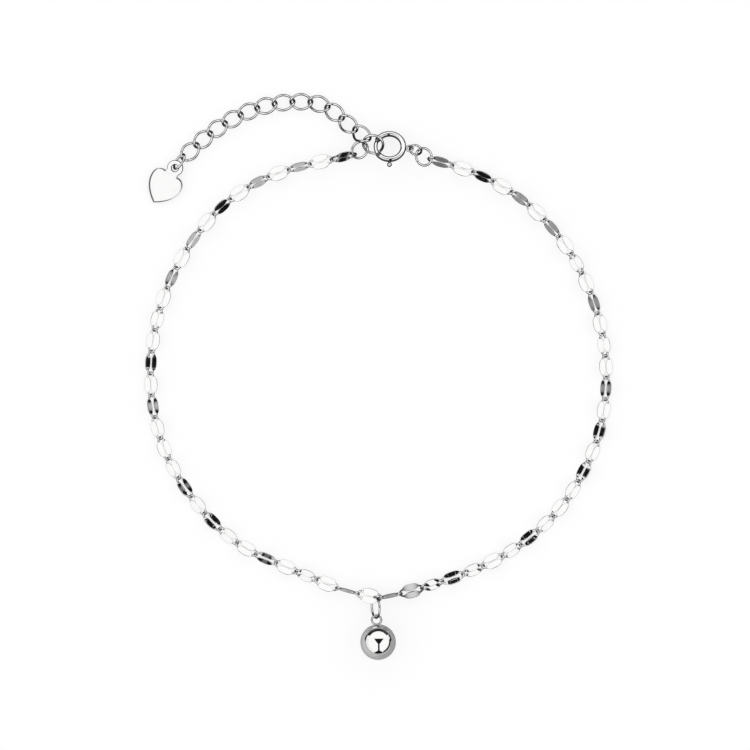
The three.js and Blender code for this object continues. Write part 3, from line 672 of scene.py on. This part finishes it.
def lip_shell(chain, links, stations=72):
    """Lip links: the middle line is |x/a|^power + |y/b|^2 = 1, its section a flat with round edges.

    The section's half width is the wire's radius at the eyes and grows to a leaf, while its half
    thickness falls from the wire's radius to the leaf's. It turns about the link's length as much as
    the leaf is pressed out of the plane, and draws in by a share of half width times (1 - cos turn).
    """
    turn = np.linspace(0, 2 * np.pi, stations, endpoint=False)[None, :]
    half = links.half[:, None]
    along_share = np.cos(turn)
    x = half * along_share
    across_share = np.sqrt(np.clip(1 - np.abs(along_share) ** chain.oval_power, 0, 1))
    y = chain.leaf_offset * across_share * np.sign(np.sin(turn)) * np.ones_like(half)
    steep = np.abs(along_share) ** (chain.oval_power - 1) * np.sign(along_share)
    outward = unit(np.stack((chain.oval_power / half * steep, 2 * y / chain.leaf_offset**2), axis=-1))
    leaf_share = np.sqrt(np.clip(1 - np.abs(x / chain.leaf_half_length) ** LEAF_POWER, 0, 1))
    leaf = chain.leaf_half_width * leaf_share
    wide = (chain.wire**LEAF_BLEND + leaf**LEAF_BLEND) ** (1 / LEAF_BLEND)
    pressed = (LEAF_STARTS, LEAF_SETTLES)
    thick = np.interp(leaf_share, pressed, (chain.wire, chain.leaf_half_thickness))[..., None]
    angle, along_flat = leaf_section()
    flat = np.maximum(wide[..., None] - thick, LEAST_FLAT)
    offset = flat * along_flat + thick * np.cos(angle)
    local = np.stack((outward[..., 0, None] * offset, outward[..., 1, None] * offset,
                      thick * np.sin(angle)), axis=-1)
    lean = np.radians(links.leaf_turn)[:, None, None] * leaf_share[..., None]
    drawn_in = LEAF_DRAW * (wide * outward[..., 1])[..., None] * (1 - np.cos(lean))
    across = local[..., 1] * np.cos(lean) - local[..., 2] * np.sin(lean) - drawn_in
    rise = local[..., 1] * np.sin(lean) + local[..., 2] * np.cos(lean)
    parts = (x[..., None] + local[..., 0], y[..., None] + across, rise)
    frame = (links.along, links.side, links.normal)
    grid = links.middle[:, None, None] + sum(
        part[..., None] * axis[:, None, None] for part, axis in zip(parts, frame))
    # Painted shade: a leaf's outer round edge is painted dark and its flats stay bright, the round wire's
    # flanks are painted darker the less they face up, and painted grey leaves are darker all over
    facing = np.where(np.cos(angle) < 0, 1, np.abs(np.sin(angle))) * links.leaf_polish[:, None, None]
    up = (np.abs(links.normal[:, 2])[:, None, None] * facing
          + np.abs(links.side[:, 2])[:, None, None] * np.abs(outward[..., 1, None] * np.cos(angle)))
    polish = leaf_share[..., None] * facing + (1 - leaf_share[..., None]) * up**WIRE_SHADE_POWER
    faces = [grid_faces(stations, len(angle), count=len(links.half))]
    return Shell(grid.reshape(-1, 3), faces, polish.ravel())


def clasp_tube(clasp, stations=300, arc=22):
    """A bent tube with a slot along its outer wall, where the knob's stem slides.

    The section runs round the outside from one lip of the slot to the other and back round the bore.
    The slot is as wide as the stem with its clearance and has round ends; elsewhere it is a fine seam.
    """
    turn = np.radians(np.linspace(CLASP_FROM, CLASP_TO, stations))
    room = clasp.stem + clasp.slot_clearance
    beyond = np.maximum(np.radians(KNOB_AT) - turn, turn - np.radians(KNOB_AT + GATE_TRAVEL))
    beyond = np.clip(beyond, 0, None) * clasp.radius
    half_slot = np.sqrt(np.clip(room**2 - beyond**2, 0, None))
    lip = np.arcsin(half_slot / clasp.tube) + SEAM_ANGLE
    sweep = np.linspace(0, 1, arc)[None, :]
    outer = lip[:, None] + (2 * np.pi - 2 * lip[:, None]) * sweep
    angle = np.hstack((outer, outer[:, ::-1]))
    radius = np.repeat((clasp.tube, clasp.bore), arc)[None, :]
    out = clasp.radius + radius * np.cos(angle)
    grid = np.stack((out * np.cos(turn)[:, None], out * np.sin(turn)[:, None], radius * np.sin(angle)),
                    axis=-1)
    columns = 2 * arc
    k = np.arange(arc - 1)
    rim = np.stack((k, k + 1, columns - 2 - k, columns - 1 - k), axis=-1)
    far_rim = rim[:, ::-1] + (stations - 1) * columns
    # Painted shade on the tube's flanks, where the section faces sideways, and all round its two ends
    polish = np.abs(np.sin(angle))
    polish[:MOUTH_ROWS], polish[-FAR_MOUTH_ROWS:] = 0, 0
    faces = [grid_faces(stations, columns, closed_rows=False), rim, far_rim]
    return Shell(grid.reshape(-1, 3), faces, polish.ravel())


def clasp_knob(clasp, foot):
    """The knob: a stem from its foot up into a ball, whose radius is the knob's times the cosine"""
    angle = np.linspace(-np.pi / 2, np.pi / 2, 40)
    ball_x, ball_r = clasp.knob * np.sin(angle), clasp.knob * np.cos(angle)
    past_stem = (ball_r >= clasp.stem) | (angle > 0)
    along = np.concatenate(((foot,), ball_x[past_stem]))
    radius = np.concatenate(((clasp.stem,), np.maximum(ball_r[past_stem], clasp.stem * POLE_SHARE)))
    return lathe(along, radius, columns=32)


def bezier(ends, steps=40):
    """A cubic through its first and last point, drawn towards the two between"""
    t = np.linspace(0, 1, steps, endpoint=False)[:, None]
    a, b, c, d = (np.array(point) for point in ends)
    return (1 - t) ** 3 * a + 3 * (1 - t) ** 2 * t * b + 3 * (1 - t) * t**2 * c + t**3 * d


def heart_outline(part):
    """The right side from the tip to the neck, the neck, and the left side back"""
    scale = np.array((part.heart_half_width, part.neck_at))
    hip, flank, shoulder, top, crown = (np.array(pair) * scale for pair in HEART_SHARES.values())
    neck = np.array((part.neck_half_width, part.neck_at))
    right = np.vstack((bezier(((0, 0), hip, flank, shoulder)), bezier((shoulder, top, crown, neck))))
    across = np.linspace(1, -1, 12, endpoint=False)[:, None] * np.array((part.neck_half_width, 0))
    neck_line = across + np.array((0, part.neck_at))
    left = (right * np.array((-1, 1)))[::-1]
    return np.vstack((right, neck_line, left[:-1]))


def plate_profile(thickness, edge, steps=6):
    """Inset and height round a plate's rounded edge, from the top face to the bottom one"""
    angle = np.linspace(np.pi / 2, 0, steps)
    inset = edge * (1 - np.cos(angle))
    height = thickness / 2 - edge + edge * np.sin(angle)
    return np.concatenate((inset, inset[::-1])), np.concatenate((height, -height[::-1]))


def heart_shell(part):
    """The heart: its outline drawn towards its middle on the faces, and inset round its rounded edge.

    A point that the inset would carry over the middle line stays on it. The faces are left bright, and
    the rim carries painted shade, darkest on the side away from the chain's loop.
    """
    outline = heart_outline(part)
    step = np.roll(outline, -1, axis=0) - np.roll(outline, 1, axis=0)
    inward = unit(np.stack((-step[:, 1], step[:, 0]), axis=-1))
    middle = np.array((0, HEART_MIDDLE * part.neck_at))
    inset, height = plate_profile(part.thickness, part.edge)
    inset = np.concatenate(((part.rim,), inset, (part.rim,)))
    height = np.concatenate((height[:1], height, height[-1:]))
    rounds = outline[None] + inset[:, None, None] * inward[None]
    half = np.sign(outline[:, 0])
    rounds[..., 0] = half * np.maximum(half * rounds[..., 0], 0)
    draws = np.array(HEART_DRAWS)[:, None, None]
    top = middle + (rounds[0] - middle) * draws
    flat = np.vstack((top, rounds, (middle + (rounds[-1] - middle) * draws)[::-1]))
    face = len(HEART_DRAWS)
    z = np.concatenate((np.full(face, height[0]), height, np.full(face, height[-1])))
    grid = np.dstack((flat, np.broadcast_to(z[:, None], flat.shape[:2])))
    # Painted shade on the rim, darkest towards the dark side, and none on the faces
    facing = -inward @ HEART_DARK_SIDE
    middling, more, least, most = HEART_PAINTED_SHADE
    painted_shade = np.clip(middling + more * facing, least, most)[None, :] * np.ones((len(z), 1))
    painted_shade[:face + 1], painted_shade[-face - 1:] = 0, 0
    shell = closed_ends(grid)
    return shell._replace(polish=1 - np.concatenate((painted_shade.ravel(), (0, 0))))


def tab_shell(part, stations=96):
    """The tab: a rounded section carried round the hole, from the hole to the tab's edge.

    The edge is the tab's round, and towards the heart it is a straight-sided foot sunk in the heart.
    """
    angle = np.linspace(0, 2 * np.pi, stations, endpoint=False)
    foot = part.tag_length - part.neck_at + TAB_BITE
    down = np.clip(-np.sin(angle), 1e-6, None)
    beside = np.clip(np.abs(np.cos(angle)), 1e-6, None)
    outer = np.where(down > TAB_JOIN, np.minimum(foot / down, part.neck_half_width / beside), part.tab)
    outer = np.maximum(outer, np.where(down > TAB_JOIN, part.hole * TAB_LEAST, part.tab))
    inset, height = plate_profile(part.thickness + TAB_PROUD, part.edge)
    inset = np.concatenate(((part.rim / 2,), inset, (part.rim / 2,)))
    height = np.concatenate((height[:1], height, height[-1:]))
    reach = np.concatenate((outer[:, None] - inset, part.hole + inset[::-1] + 0 * outer[:, None]), axis=1)
    z = np.concatenate((height, height[::-1])) * np.ones((stations, 1))
    grid = np.stack((reach * np.cos(angle)[:, None], reach * np.sin(angle)[:, None] + part.tag_length, z),
                    axis=-1)
    rows = len(inset)
    # Painted shade on the tab's rounded edge, except where it lies in the heart, and all round the hole
    painted_shade = np.zeros((stations, 2 * rows))
    in_heart = part.tag_length - outer * down < part.neck_at
    painted_shade[:, 1:rows - 1] = np.where(in_heart, 0, TAB_PAINTED_SHADE)[:, None]
    painted_shade[:, rows + 1:-1] = HOLE_PAINTED_SHADE
    return Shell(grid.reshape(-1, 3), [grid_faces(stations, z.shape[1])], 1 - painted_shade.ravel())


def outward_faces(points, faces):
    """The faces as they are, or all turned over where they enclose a volume below nothing"""
    volume = 0.0
    for block in faces:
        corner = points[block]
        volume += np.einsum("ij,ij->", corner[:, 0], np.cross(corner[:, 1], corner[:, 2]))
        if block.shape[1] == 4:
            volume += np.einsum("ij,ij->", corner[:, 0], np.cross(corner[:, 2], corner[:, 3]))
    return faces if volume > 0 else [block[:, ::-1] for block in faces]


def add_piece(name, shells, material, body, nodes, sharp=40):
    """One mesh object from shells in the loop's own coordinates, riding on a body for its nodes"""
    starts = np.cumsum([0] + [len(shell.points) for shell in shells])
    points = np.vstack([shell.points for shell in shells]) + LOOP_MIDDLE
    blocks = []
    for start, shell in zip(starts, shells):
        blocks += [block + start for block in outward_faces(shell.points - shell.points.mean(axis=0),
                                                            shell.faces)]
    mesh = bpy.data.meshes.new(name)
    mesh.vertices.add(len(points))
    mesh.vertices.foreach_set("co", points.ravel())
    corners = np.concatenate([block.ravel() for block in blocks])
    sizes = np.concatenate([np.full(len(block), block.shape[1]) for block in blocks])
    mesh.loops.add(len(corners))
    mesh.loops.foreach_set("vertex_index", corners)
    mesh.polygons.add(len(sizes))
    mesh.polygons.foreach_set("loop_start", np.cumsum(sizes) - sizes)
    mesh.update(calc_edges=True)
    if mesh.validate():
        raise RuntimeError(f"{name} holds faces that Blender doesn't take")
    mesh.shade_smooth()
    mesh.set_sharp_from_angle(angle=math.radians(sharp))
    normals = np.empty(len(points) * 3, dtype=np.float32)
    mesh.vertex_normals.foreach_get("vector", normals)
    # Painted shade: unless a shell gives its own, a point is painted darker the less its normal faces up
    polish = np.abs(normals.reshape(-1, 3)[:, 2]) ** WIRE_SHADE_POWER
    for start, shell in zip(starts, shells):
        if shell.polish is not None:
            polish[start:start + len(shell.points)] = shell.polish
    mesh.attributes.new("polish", "FLOAT", "POINT").data.foreach_set("value", polish)
    mesh.materials.append(material)
    piece = bpy.data.objects.new(name, mesh)
    bpy.context.scene.collection.objects.link(piece)
    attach(piece, body)
    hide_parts(*nodes)
    return piece


def add_node(tree, kind, at, inputs=(), **settings):
    """A shader node with its settings, and each input given as a value or as another node's output"""
    node = tree.nodes.new(kind)
    node.location = at
    for key, value in settings.items():
        setattr(node, key, value)
    for socket, value in dict(inputs).items():
        if isinstance(value, bpy.types.NodeSocket):
            tree.links.new(value, node.inputs[socket])
        else:
            node.inputs[socket].default_value = value
    return node


def silver(context, name, roughness, grain, dent):
    """Polished silver: a mirror whose roughness and height vary with fine noise, as handled metal does.

    Shade is painted on in the dark colour where the mesh's polish attribute is low.
    """
    looks = context.scene.anklet_looks
    material = bpy.data.materials.new(name)
    material.use_nodes = True
    tree = material.node_tree
    shader = tree.nodes["Principled BSDF"]
    shader.inputs["Metallic"].default_value = 1
    polish = add_node(tree, "ShaderNodeAttribute", (-1000, 420), attribute_name="polish")
    bright = add_node(tree, "ShaderNodeMapRange", (-700, 420),
                      {"Value": polish.outputs["Fac"], "From Min": PAINTED_SHADE_TO, "From Max": PAINTED_SHADE_FROM},
                      interpolation_type="SMOOTHSTEP")
    painted_shade = add_node(tree, "ShaderNodeMixRGB", (-400, 420),
                    {"Fac": bright.outputs["Result"], "Color1": (*looks.painted_shade, 1),
                     "Color2": (*looks.silver, 1)})
    tree.links.new(painted_shade.outputs["Color"], shader.inputs["Base Color"])
    place = add_node(tree, "ShaderNodeTexCoord", (-1000, 0)).outputs["Object"]
    fine = add_node(tree, "ShaderNodeTexNoise", (-700, 120),
                    {"Vector": place, "Scale": grain, "Detail": 5, "Roughness": 0.6})
    wear = add_node(tree, "ShaderNodeMapRange", (-400, 120),
                    {"Value": fine.outputs["Fac"], "From Min": WEAR_NOISE[0],
                     "From Max": WEAR_NOISE[1], "To Min": roughness * WEAR_RANGE[0],
                     "To Max": roughness * WEAR_RANGE[1]})
    tree.links.new(wear.outputs["Result"], shader.inputs["Roughness"])
    soft = add_node(tree, "ShaderNodeTexNoise", (-700, -220),
                    {"Vector": place, "Scale": grain * DENT_GRAIN, "Detail": 3, "Roughness": 0.5})
    bump = add_node(tree, "ShaderNodeBump", (-350, -220),
                    {"Strength": 1.0, "Distance": dent, "Height": soft.outputs["Fac"]})
    tree.links.new(bump.outputs["Normal"], shader.inputs["Normal"])
    return material


class AnkletOperator:
    """What the anklet's operators share"""

    bl_options = {"REGISTER", "UNDO"}


class ANKLET_OT_chain(AnkletOperator, bpy.types.Operator):
    """Adds the two lengths of lip chain"""

    bl_idname = "anklet.add_chain"
    bl_label = "Lip chain"

    def execute(self, context):
        scene = context.scene
        metal = silver(context, "Pressed silver leaves", scene.anklet_looks.polish, 900, 0.004 * MM)
        for name, links in zip(("left", "right"), chain_links(scene)):
            shell = lip_shell(scene.anklet_chain, links)
            add_piece(f"lip_chain_{name}", [shell], metal, "anklet",
                      [f"chain_{name}"])
        return {"FINISHED"}


class ANKLET_OT_rings(AnkletOperator, bpy.types.Operator):
    """Adds the round rings at the ends of the chain and above the drop"""

    bl_idname = "anklet.add_rings"
    bl_label = "Rings"

    def execute(self, context):
        scene, rings = context.scene, context.scene.anklet_rings
        metal = silver(context, "Drawn silver wire", scene.anklet_looks.polish, 2500, 0.002 * MM)
        places = clasp_places(scene)
        places["drop"], _ = drop_places(scene)
        rows = (
            ("clasped_ring", "end", rings.end, rings.end_wire, 40, "end_ring"),
            ("left_jump_ring", "left", rings.jump, rings.jump_wire, 260, "jump_ring_left"),
            ("small_clasp_ring", "link", rings.link, rings.link_wire, 100, "clasp_link"),
            ("right_jump_ring", "right", rings.jump, rings.jump_wire, 250, "jump_ring_right"),
            ("drop_ring", "drop", rings.drop, rings.drop_wire, 90, "pendant_ring"),
        )
        for name, place, radius, wire, cut_at, node in rows:
            shell = moved(cut_ring(radius, wire, cut_at), places[place])
            add_piece(name, [shell], metal, "anklet", [node])
        return {"FINISHED"}


class ANKLET_OT_clasp(AnkletOperator, bpy.types.Operator):
    """Adds the clasp's tube with its eye, and the gate with its knob"""

    bl_idname = "anklet.add_clasp"
    bl_label = "Spring ring clasp"

    def execute(self, context):
        scene, clasp = context.scene, context.scene.anklet_clasp
        metal = silver(context, "Polished silver tube", scene.anklet_looks.polish, 1800, 0.003 * MM)
        places = clasp_places(scene)
        place = places["clasp"]
        eye = oval(clasp.eye, clasp.eye, clasp.eye_wire, stations=64)
        add_piece("clasp_tube", [moved(clasp_tube(clasp), place), moved(eye, places["eye"])], metal,
                  "anklet", ["clasp_ring"])
        gate = arc_bar(clasp.radius, clasp.gate, GATE_FROM, GATE_TO)
        middle = clasp.radius + clasp.tube + RUNNING_GAP + clasp.knob
        out = place.heading(KNOB_AT)
        knob_place = place_at(place.centre + out * middle, out, np.cross(place.normal, out))
        knob = clasp_knob(clasp, clasp.radius + clasp.gate / 2 - middle)
        add_piece("clasp_gate", [moved(gate, place), moved(knob, knob_place)], metal, "trigger",
                  ["clasp_trigger"])
        return {"FINISHED"}


class ANKLET_OT_drop(AnkletOperator, bpy.types.Operator):
    """Adds the ball with its soldered eye"""

    bl_idname = "anklet.add_drop"
    bl_label = "Ball drop"

    def execute(self, context):
        scene, drop = context.scene, context.scene.anklet_drop
        metal = silver(context, "Mirror polished ball", scene.anklet_looks.mirror, 500, 0.001 * MM)
        _, place = drop_places(scene)
        angle = np.linspace(-np.pi / 2, np.pi / 2, 90)[1:-1]
        ball = lathe(drop.ball * np.sin(angle), drop.ball * np.cos(angle), columns=128)
        level = moved(ball, place._replace(centre=np.zeros(3))).points[:, 2] / drop.ball
        # Painted shade: the belt of the ball that faces level is painted darker
        ball = ball._replace(polish=np.interp(np.abs(level), *BELT_PAINTED_SHADE))
        eye = oval(drop.eye, drop.eye, drop.eye_wire, stations=72)
        eye_place = place._replace(
            centre=place.centre + place.along * (drop.ball - drop.sink + drop.eye + drop.eye_wire))
        add_piece("ball_drop", [moved(ball, place), moved(eye, eye_place)], metal, "anklet",
                  ["pendant_ball"])
        return {"FINISHED"}


class ANKLET_OT_extender(AnkletOperator, bpy.types.Operator):
    """Adds the curb links of the extender and the tag's long link"""

    bl_idname = "anklet.add_extender"
    bl_label = "Curb extender"

    def execute(self, context):
        scene, part = context.scene, context.scene.anklet_extender
        metal = silver(context, "Curb link silver", scene.anklet_looks.polish, 2200, 0.003 * MM)
        curbs, link, _ = extender_places(scene)
        curb = oval(part.half_length, part.half_width, part.wire, part.turn)
        for order, place in enumerate(curbs, start=1):
            add_piece(f"curb_link_{order:02d}", [moved(curb, place)], metal, "anklet",
                      [f"extender_link_{order:02d}"])
        long_link = oval(part.tag_half_length, part.tag_half_width, part.tag_wire)
        add_piece("long_tag_link", [moved(long_link, link)], metal, "anklet",
                  ["tag_link"])
        return {"FINISHED"}


class ANKLET_OT_tag(AnkletOperator, bpy.types.Operator):
    """Adds the bare heart tag with its tab"""

    bl_idname = "anklet.add_tag"
    bl_label = "Heart tag"

    def execute(self, context):
        scene, part = context.scene, context.scene.anklet_extender
        metal = silver(context, "Satin tag plate", scene.anklet_looks.satin, 700, 0.0004 * MM)
        _, _, place = extender_places(scene)
        shells = [moved(heart_shell(part), place), moved(tab_shell(part), place)]
        add_piece("bare_heart", shells, metal, "anklet", ["heart_tag"], sharp=35)
        return {"FINISHED"}


class WorldMath:
    """Arithmetic on shader sockets in one node tree"""

    def __init__(self, tree):
        self.tree = tree
        self.count = 0

    def add(self, kind, inputs, **settings):
        """A node in the next free place of rows of twelve"""
        row, column = divmod(self.count, 12)
        self.count += 1
        return add_node(self.tree, kind, (150 * column - 1800, 500 - 170 * row), inputs, **settings)

    def do(self, operation, *values):
        """One math node: a value or a socket for each input"""
        return self.add("ShaderNodeMath", dict(enumerate(values)), operation=operation).outputs[0]

    def ramp(self, value, low, high):
        """0 below low, 1 above high, and a soft step between"""
        return self.add("ShaderNodeMapRange", {"Value": value, "From Min": low, "From Max": high},
                        interpolation_type="SMOOTHSTEP").outputs["Result"]


class ANKLET_OT_stage(AnkletOperator, bpy.types.Operator):
    """Adds the table, the white tent with its dark gaps, and the camera"""

    bl_idname = "anklet.add_stage"
    bl_label = "Table, light and camera"

    def execute(self, context):
        self.add_table(context)
        self.add_tent(context)
        self.add_camera(context)
        return {"FINISHED"}

    def add_table(self, context):
        """A wide disc under the anklet, white to the eye, and painted grey, paler to the left, where the
        metal reflects it.

        A reflection that meets it at a grazing angle, behind the ball, finds it painted dark.
        """
        looks = context.scene.anklet_looks
        angle = np.linspace(0, 2 * np.pi, 96, endpoint=False)
        ring = TABLE_RADIUS * np.stack((np.cos(angle), np.sin(angle), 0 * angle), axis=-1)
        mesh = bpy.data.meshes.new("table")
        mesh.from_pydata(ring.tolist(), [], [list(range(len(ring)))])
        mesh.update()
        table = bpy.data.objects.new("table", mesh)
        context.scene.collection.objects.link(table)
        material = bpy.data.materials.new("White card")
        material.use_nodes = True
        tree = material.node_tree
        tree.nodes.clear()
        glow = add_node(tree, "ShaderNodeEmission", (-300, 400),
                        {"Color": (1, 1, 1, 1), "Strength": TABLE_GLOW})
        shade = add_node(tree, "ShaderNodeBsdfDiffuse", (-300, 250), {"Color": (*looks.table, 1)})
        white = add_node(tree, "ShaderNodeMixShader", (-100, 350),
                         {0: TABLE_SHADE, 1: glow.outputs["Emission"], 2: shade.outputs["BSDF"]})
        place = add_node(tree, "ShaderNodeTexCoord", (-1300, -100)).outputs["Object"]
        axes = add_node(tree, "ShaderNodeSeparateXYZ", (-1100, -100), {0: place}).outputs
        facing = add_node(tree, "ShaderNodeLayerWeight", (-1100, 100), {"Blend": 0.5}).outputs["Facing"]
        grazing = add_node(tree, "ShaderNodeMapRange", (-900, 100),
                           {"Value": facing, "From Min": GLOOM_FACING[0], "From Max": GLOOM_FACING[1]})
        behind = add_node(tree, "ShaderNodeMapRange", (-900, -100),
                          {"Value": axes["Y"], "From Min": GLOOM_FROM - GLOOM_STEP,
                            "From Max": GLOOM_FROM})
        gloom = add_node(tree, "ShaderNodeMath", (-700, 0),
                         {0: grazing.outputs["Result"], 1: behind.outputs["Result"]},
                         operation="MULTIPLY")
        # Painted light: the table is paler to the left in the metal's reflections
        painted_left_light = add_node(tree, "ShaderNodeMapRange", (-900, -350),
                           {"Value": axes["X"], "From Min": TABLE_FADE[0], "From Max": TABLE_FADE[1],
                            "To Min": TABLE_IN_METAL_LEFT, "To Max": TABLE_IN_METAL})
        mirrored = add_node(tree, "ShaderNodeMixRGB", (-500, -100),
                            {"Fac": gloom.outputs["Value"], "Color1": painted_left_light.outputs["Result"],
                             "Color2": (GLOOM, GLOOM, GLOOM, 1)})
        grey = add_node(tree, "ShaderNodeBsdfDiffuse", (-300, -100),
                        {"Color": mirrored.outputs["Color"]})
        sight = add_node(tree, "ShaderNodeLightPath", (-300, 600)).outputs["Is Camera Ray"]
        mix = add_node(tree, "ShaderNodeMixShader", (0, 100),
                       {0: sight, 1: grey.outputs["BSDF"], 2: white.outputs["Shader"]})
        add_node(tree, "ShaderNodeOutputMaterial", (200, 100), {"Surface": mix.outputs["Shader"]})
        mesh.materials.append(material)

    def add_tent(self, context):
        """White overhead, with a dark band at the horizon and a dark gap where the tent is open.

        A point of the sky is read as its place (u, v) on a mirror ball seen from above: the level part
        of its direction over the root of 2 (1 + height).
        """
        looks = context.scene.anklet_looks
        world = bpy.data.worlds.new("White tent")
        world.use_nodes = True
        context.scene.world = world
        tree = world.node_tree
        tree.nodes.clear()
        m = WorldMath(tree)
        sky = add_node(tree, "ShaderNodeTexCoord", (-2400, 0)).outputs["Generated"]
        axes = add_node(tree, "ShaderNodeSeparateXYZ", (-2200, 0), {0: sky}).outputs
        spread = m.do("SQRT", m.do("MAXIMUM", m.do("MULTIPLY_ADD", axes["Z"], 2.0, 2.0), 0.001))
        u = m.do("SUBTRACT", m.do("DIVIDE", axes["X"], spread), TENT_MIDDLE[0])
        v = m.do("SUBTRACT", m.do("DIVIDE", axes["Y"], spread), TENT_MIDDLE[1])
        rho = m.do("SQRT", m.do("ADD", m.do("MULTIPLY", u, u), m.do("MULTIPLY", v, v)))
        azimuth = m.do("ARCTAN2", v, u)
        inner = TENT_EDGE
        for middle, half_span, thickness in TENT_BANDS:
            lean = m.do("COSINE", m.do("SUBTRACT", azimuth, math.radians(middle)))
            edge = math.cos(math.radians(half_span))
            spans = m.ramp(lean, edge - BAND_END, edge + BAND_END)
            inner = m.do("SUBTRACT", inner, m.do("MULTIPLY", spans, thickness))
        band = m.ramp(m.do("SUBTRACT", rho, inner), -SHARP, SHARP)
        beyond = m.ramp(m.do("SUBTRACT", rho, TENT_EDGE), -SOFT, SOFT)
        beside = m.do("ABSOLUTE", m.do("SUBTRACT", u, GAP_MIDDLE))
        above = m.do("MULTIPLY", m.do("MAXIMUM", m.do("SUBTRACT", v, GAP_WAIST), 0.0), GAP_FLARE)
        below = m.do("MULTIPLY", m.do("MAXIMUM", m.do("SUBTRACT", GAP_ANKLE, v), 0.0), GAP_FOOT_FLARE)
        half = m.do("ADD", m.do("ADD", above, below), GAP_STEM)
        inside = m.ramp(m.do("SUBTRACT", half, beside), -SHARP, SHARP)
        top = m.ramp(m.do("SUBTRACT", GAP_TOP, v), -SOFT, SOFT)
        gap = m.do("MULTIPLY", inside, top)
        dark = m.do("MAXIMUM", band, gap)
        low = m.ramp(rho, TENT_FALL_FROM, TENT_EDGE)
        tent = m.do("MULTIPLY_ADD", low, -TENT_FALL, looks.tent)
        light = m.do("MULTIPLY_ADD", dark, m.do("SUBTRACT", GAP_LIGHT, tent), tent)
        light = m.do("MULTIPLY_ADD", beyond, m.do("SUBTRACT", HORIZON_LIGHT, light), light)
        sight = add_node(tree, "ShaderNodeLightPath", (-300, 400)).outputs["Is Camera Ray"]
        seen = add_node(tree, "ShaderNodeBackground", (-100, 200), {"Color": (1, 1, 1, 1), "Strength": 1})
        lit = add_node(tree, "ShaderNodeBackground", (-100, 0),
                       {"Color": (1, 1, 1, 1), "Strength": light})
        mix = add_node(tree, "ShaderNodeMixShader", (100, 100),
                       {0: sight, 1: lit.outputs[0], 2: seen.outputs[0]})
        add_node(tree, "ShaderNodeOutputWorld", (300, 100), {"Surface": mix.outputs["Shader"]})

    def add_camera(self, context):
        """Straight above the middle of the photograph, as wide as the photograph is in mm"""
        data = bpy.data.cameras.new("camera")
        data.sensor_width = SENSOR
        data.lens = SENSOR * CAMERA_HEIGHT / PHOTO_WIDTH
        data.clip_start = CLIP_START
        camera = bpy.data.objects.new("camera", data)
        middle = LOOP_MIDDLE + PHOTO_MIDDLE
        camera.location = (middle[0], middle[1], CAMERA_HEIGHT)
        context.scene.collection.objects.link(camera)
        context.scene.camera = camera
        context.scene.view_settings.view_transform = "Standard"


class ANKLET_PT_panel(bpy.types.Panel):
    """Lists the anklet's sizes and pieces"""

    bl_idname = "ANKLET_PT_panel"
    bl_label = "Anklet"
    bl_space_type = "VIEW_3D"
    bl_region_type = "UI"
    bl_category = "Anklet"

    def draw(self, context):
        for group in GROUPS:
            box = self.layout.box()
            settings = getattr(context.scene, group)
            for name in settings.__annotations__:
                box.prop(settings, name)
        for operator in OPERATORS:
            self.layout.operator(operator.bl_idname)


GROUPS = {
    "anklet_chain": ANKLET_PG_chain,
    "anklet_rings": ANKLET_PG_rings,
    "anklet_clasp": ANKLET_PG_clasp,
    "anklet_extender": ANKLET_PG_extender,
    "anklet_drop": ANKLET_PG_drop,
    "anklet_looks": ANKLET_PG_looks,
}
OPERATORS = (ANKLET_OT_chain, ANKLET_OT_rings, ANKLET_OT_clasp, ANKLET_OT_drop, ANKLET_OT_extender,
             ANKLET_OT_tag, ANKLET_OT_stage)


def register():
    """Registers the settings, the operators and the panel"""
    for name, group in GROUPS.items():
        bpy.utils.register_class(group)
        setattr(bpy.types.Scene, name, PointerProperty(type=group))
    for item in (*OPERATORS, ANKLET_PT_panel):
        bpy.utils.register_class(item)


def unregister():
    """Takes them all away again"""
    for item in (ANKLET_PT_panel, *reversed(OPERATORS)):
        bpy.utils.unregister_class(item)
    for name, group in reversed(GROUPS.items()):
        delattr(bpy.types.Scene, name)
        bpy.utils.unregister_class(group)


def main():
    """Builds every piece and the stage"""
    register()
    bpy.ops.anklet.add_chain()
    bpy.ops.anklet.add_rings()
    bpy.ops.anklet.add_clasp()
    bpy.ops.anklet.add_drop()
    bpy.ops.anklet.add_extender()
    bpy.ops.anklet.add_tag()
    bpy.ops.anklet.add_stage()


if __name__ == "__main__":
    main()
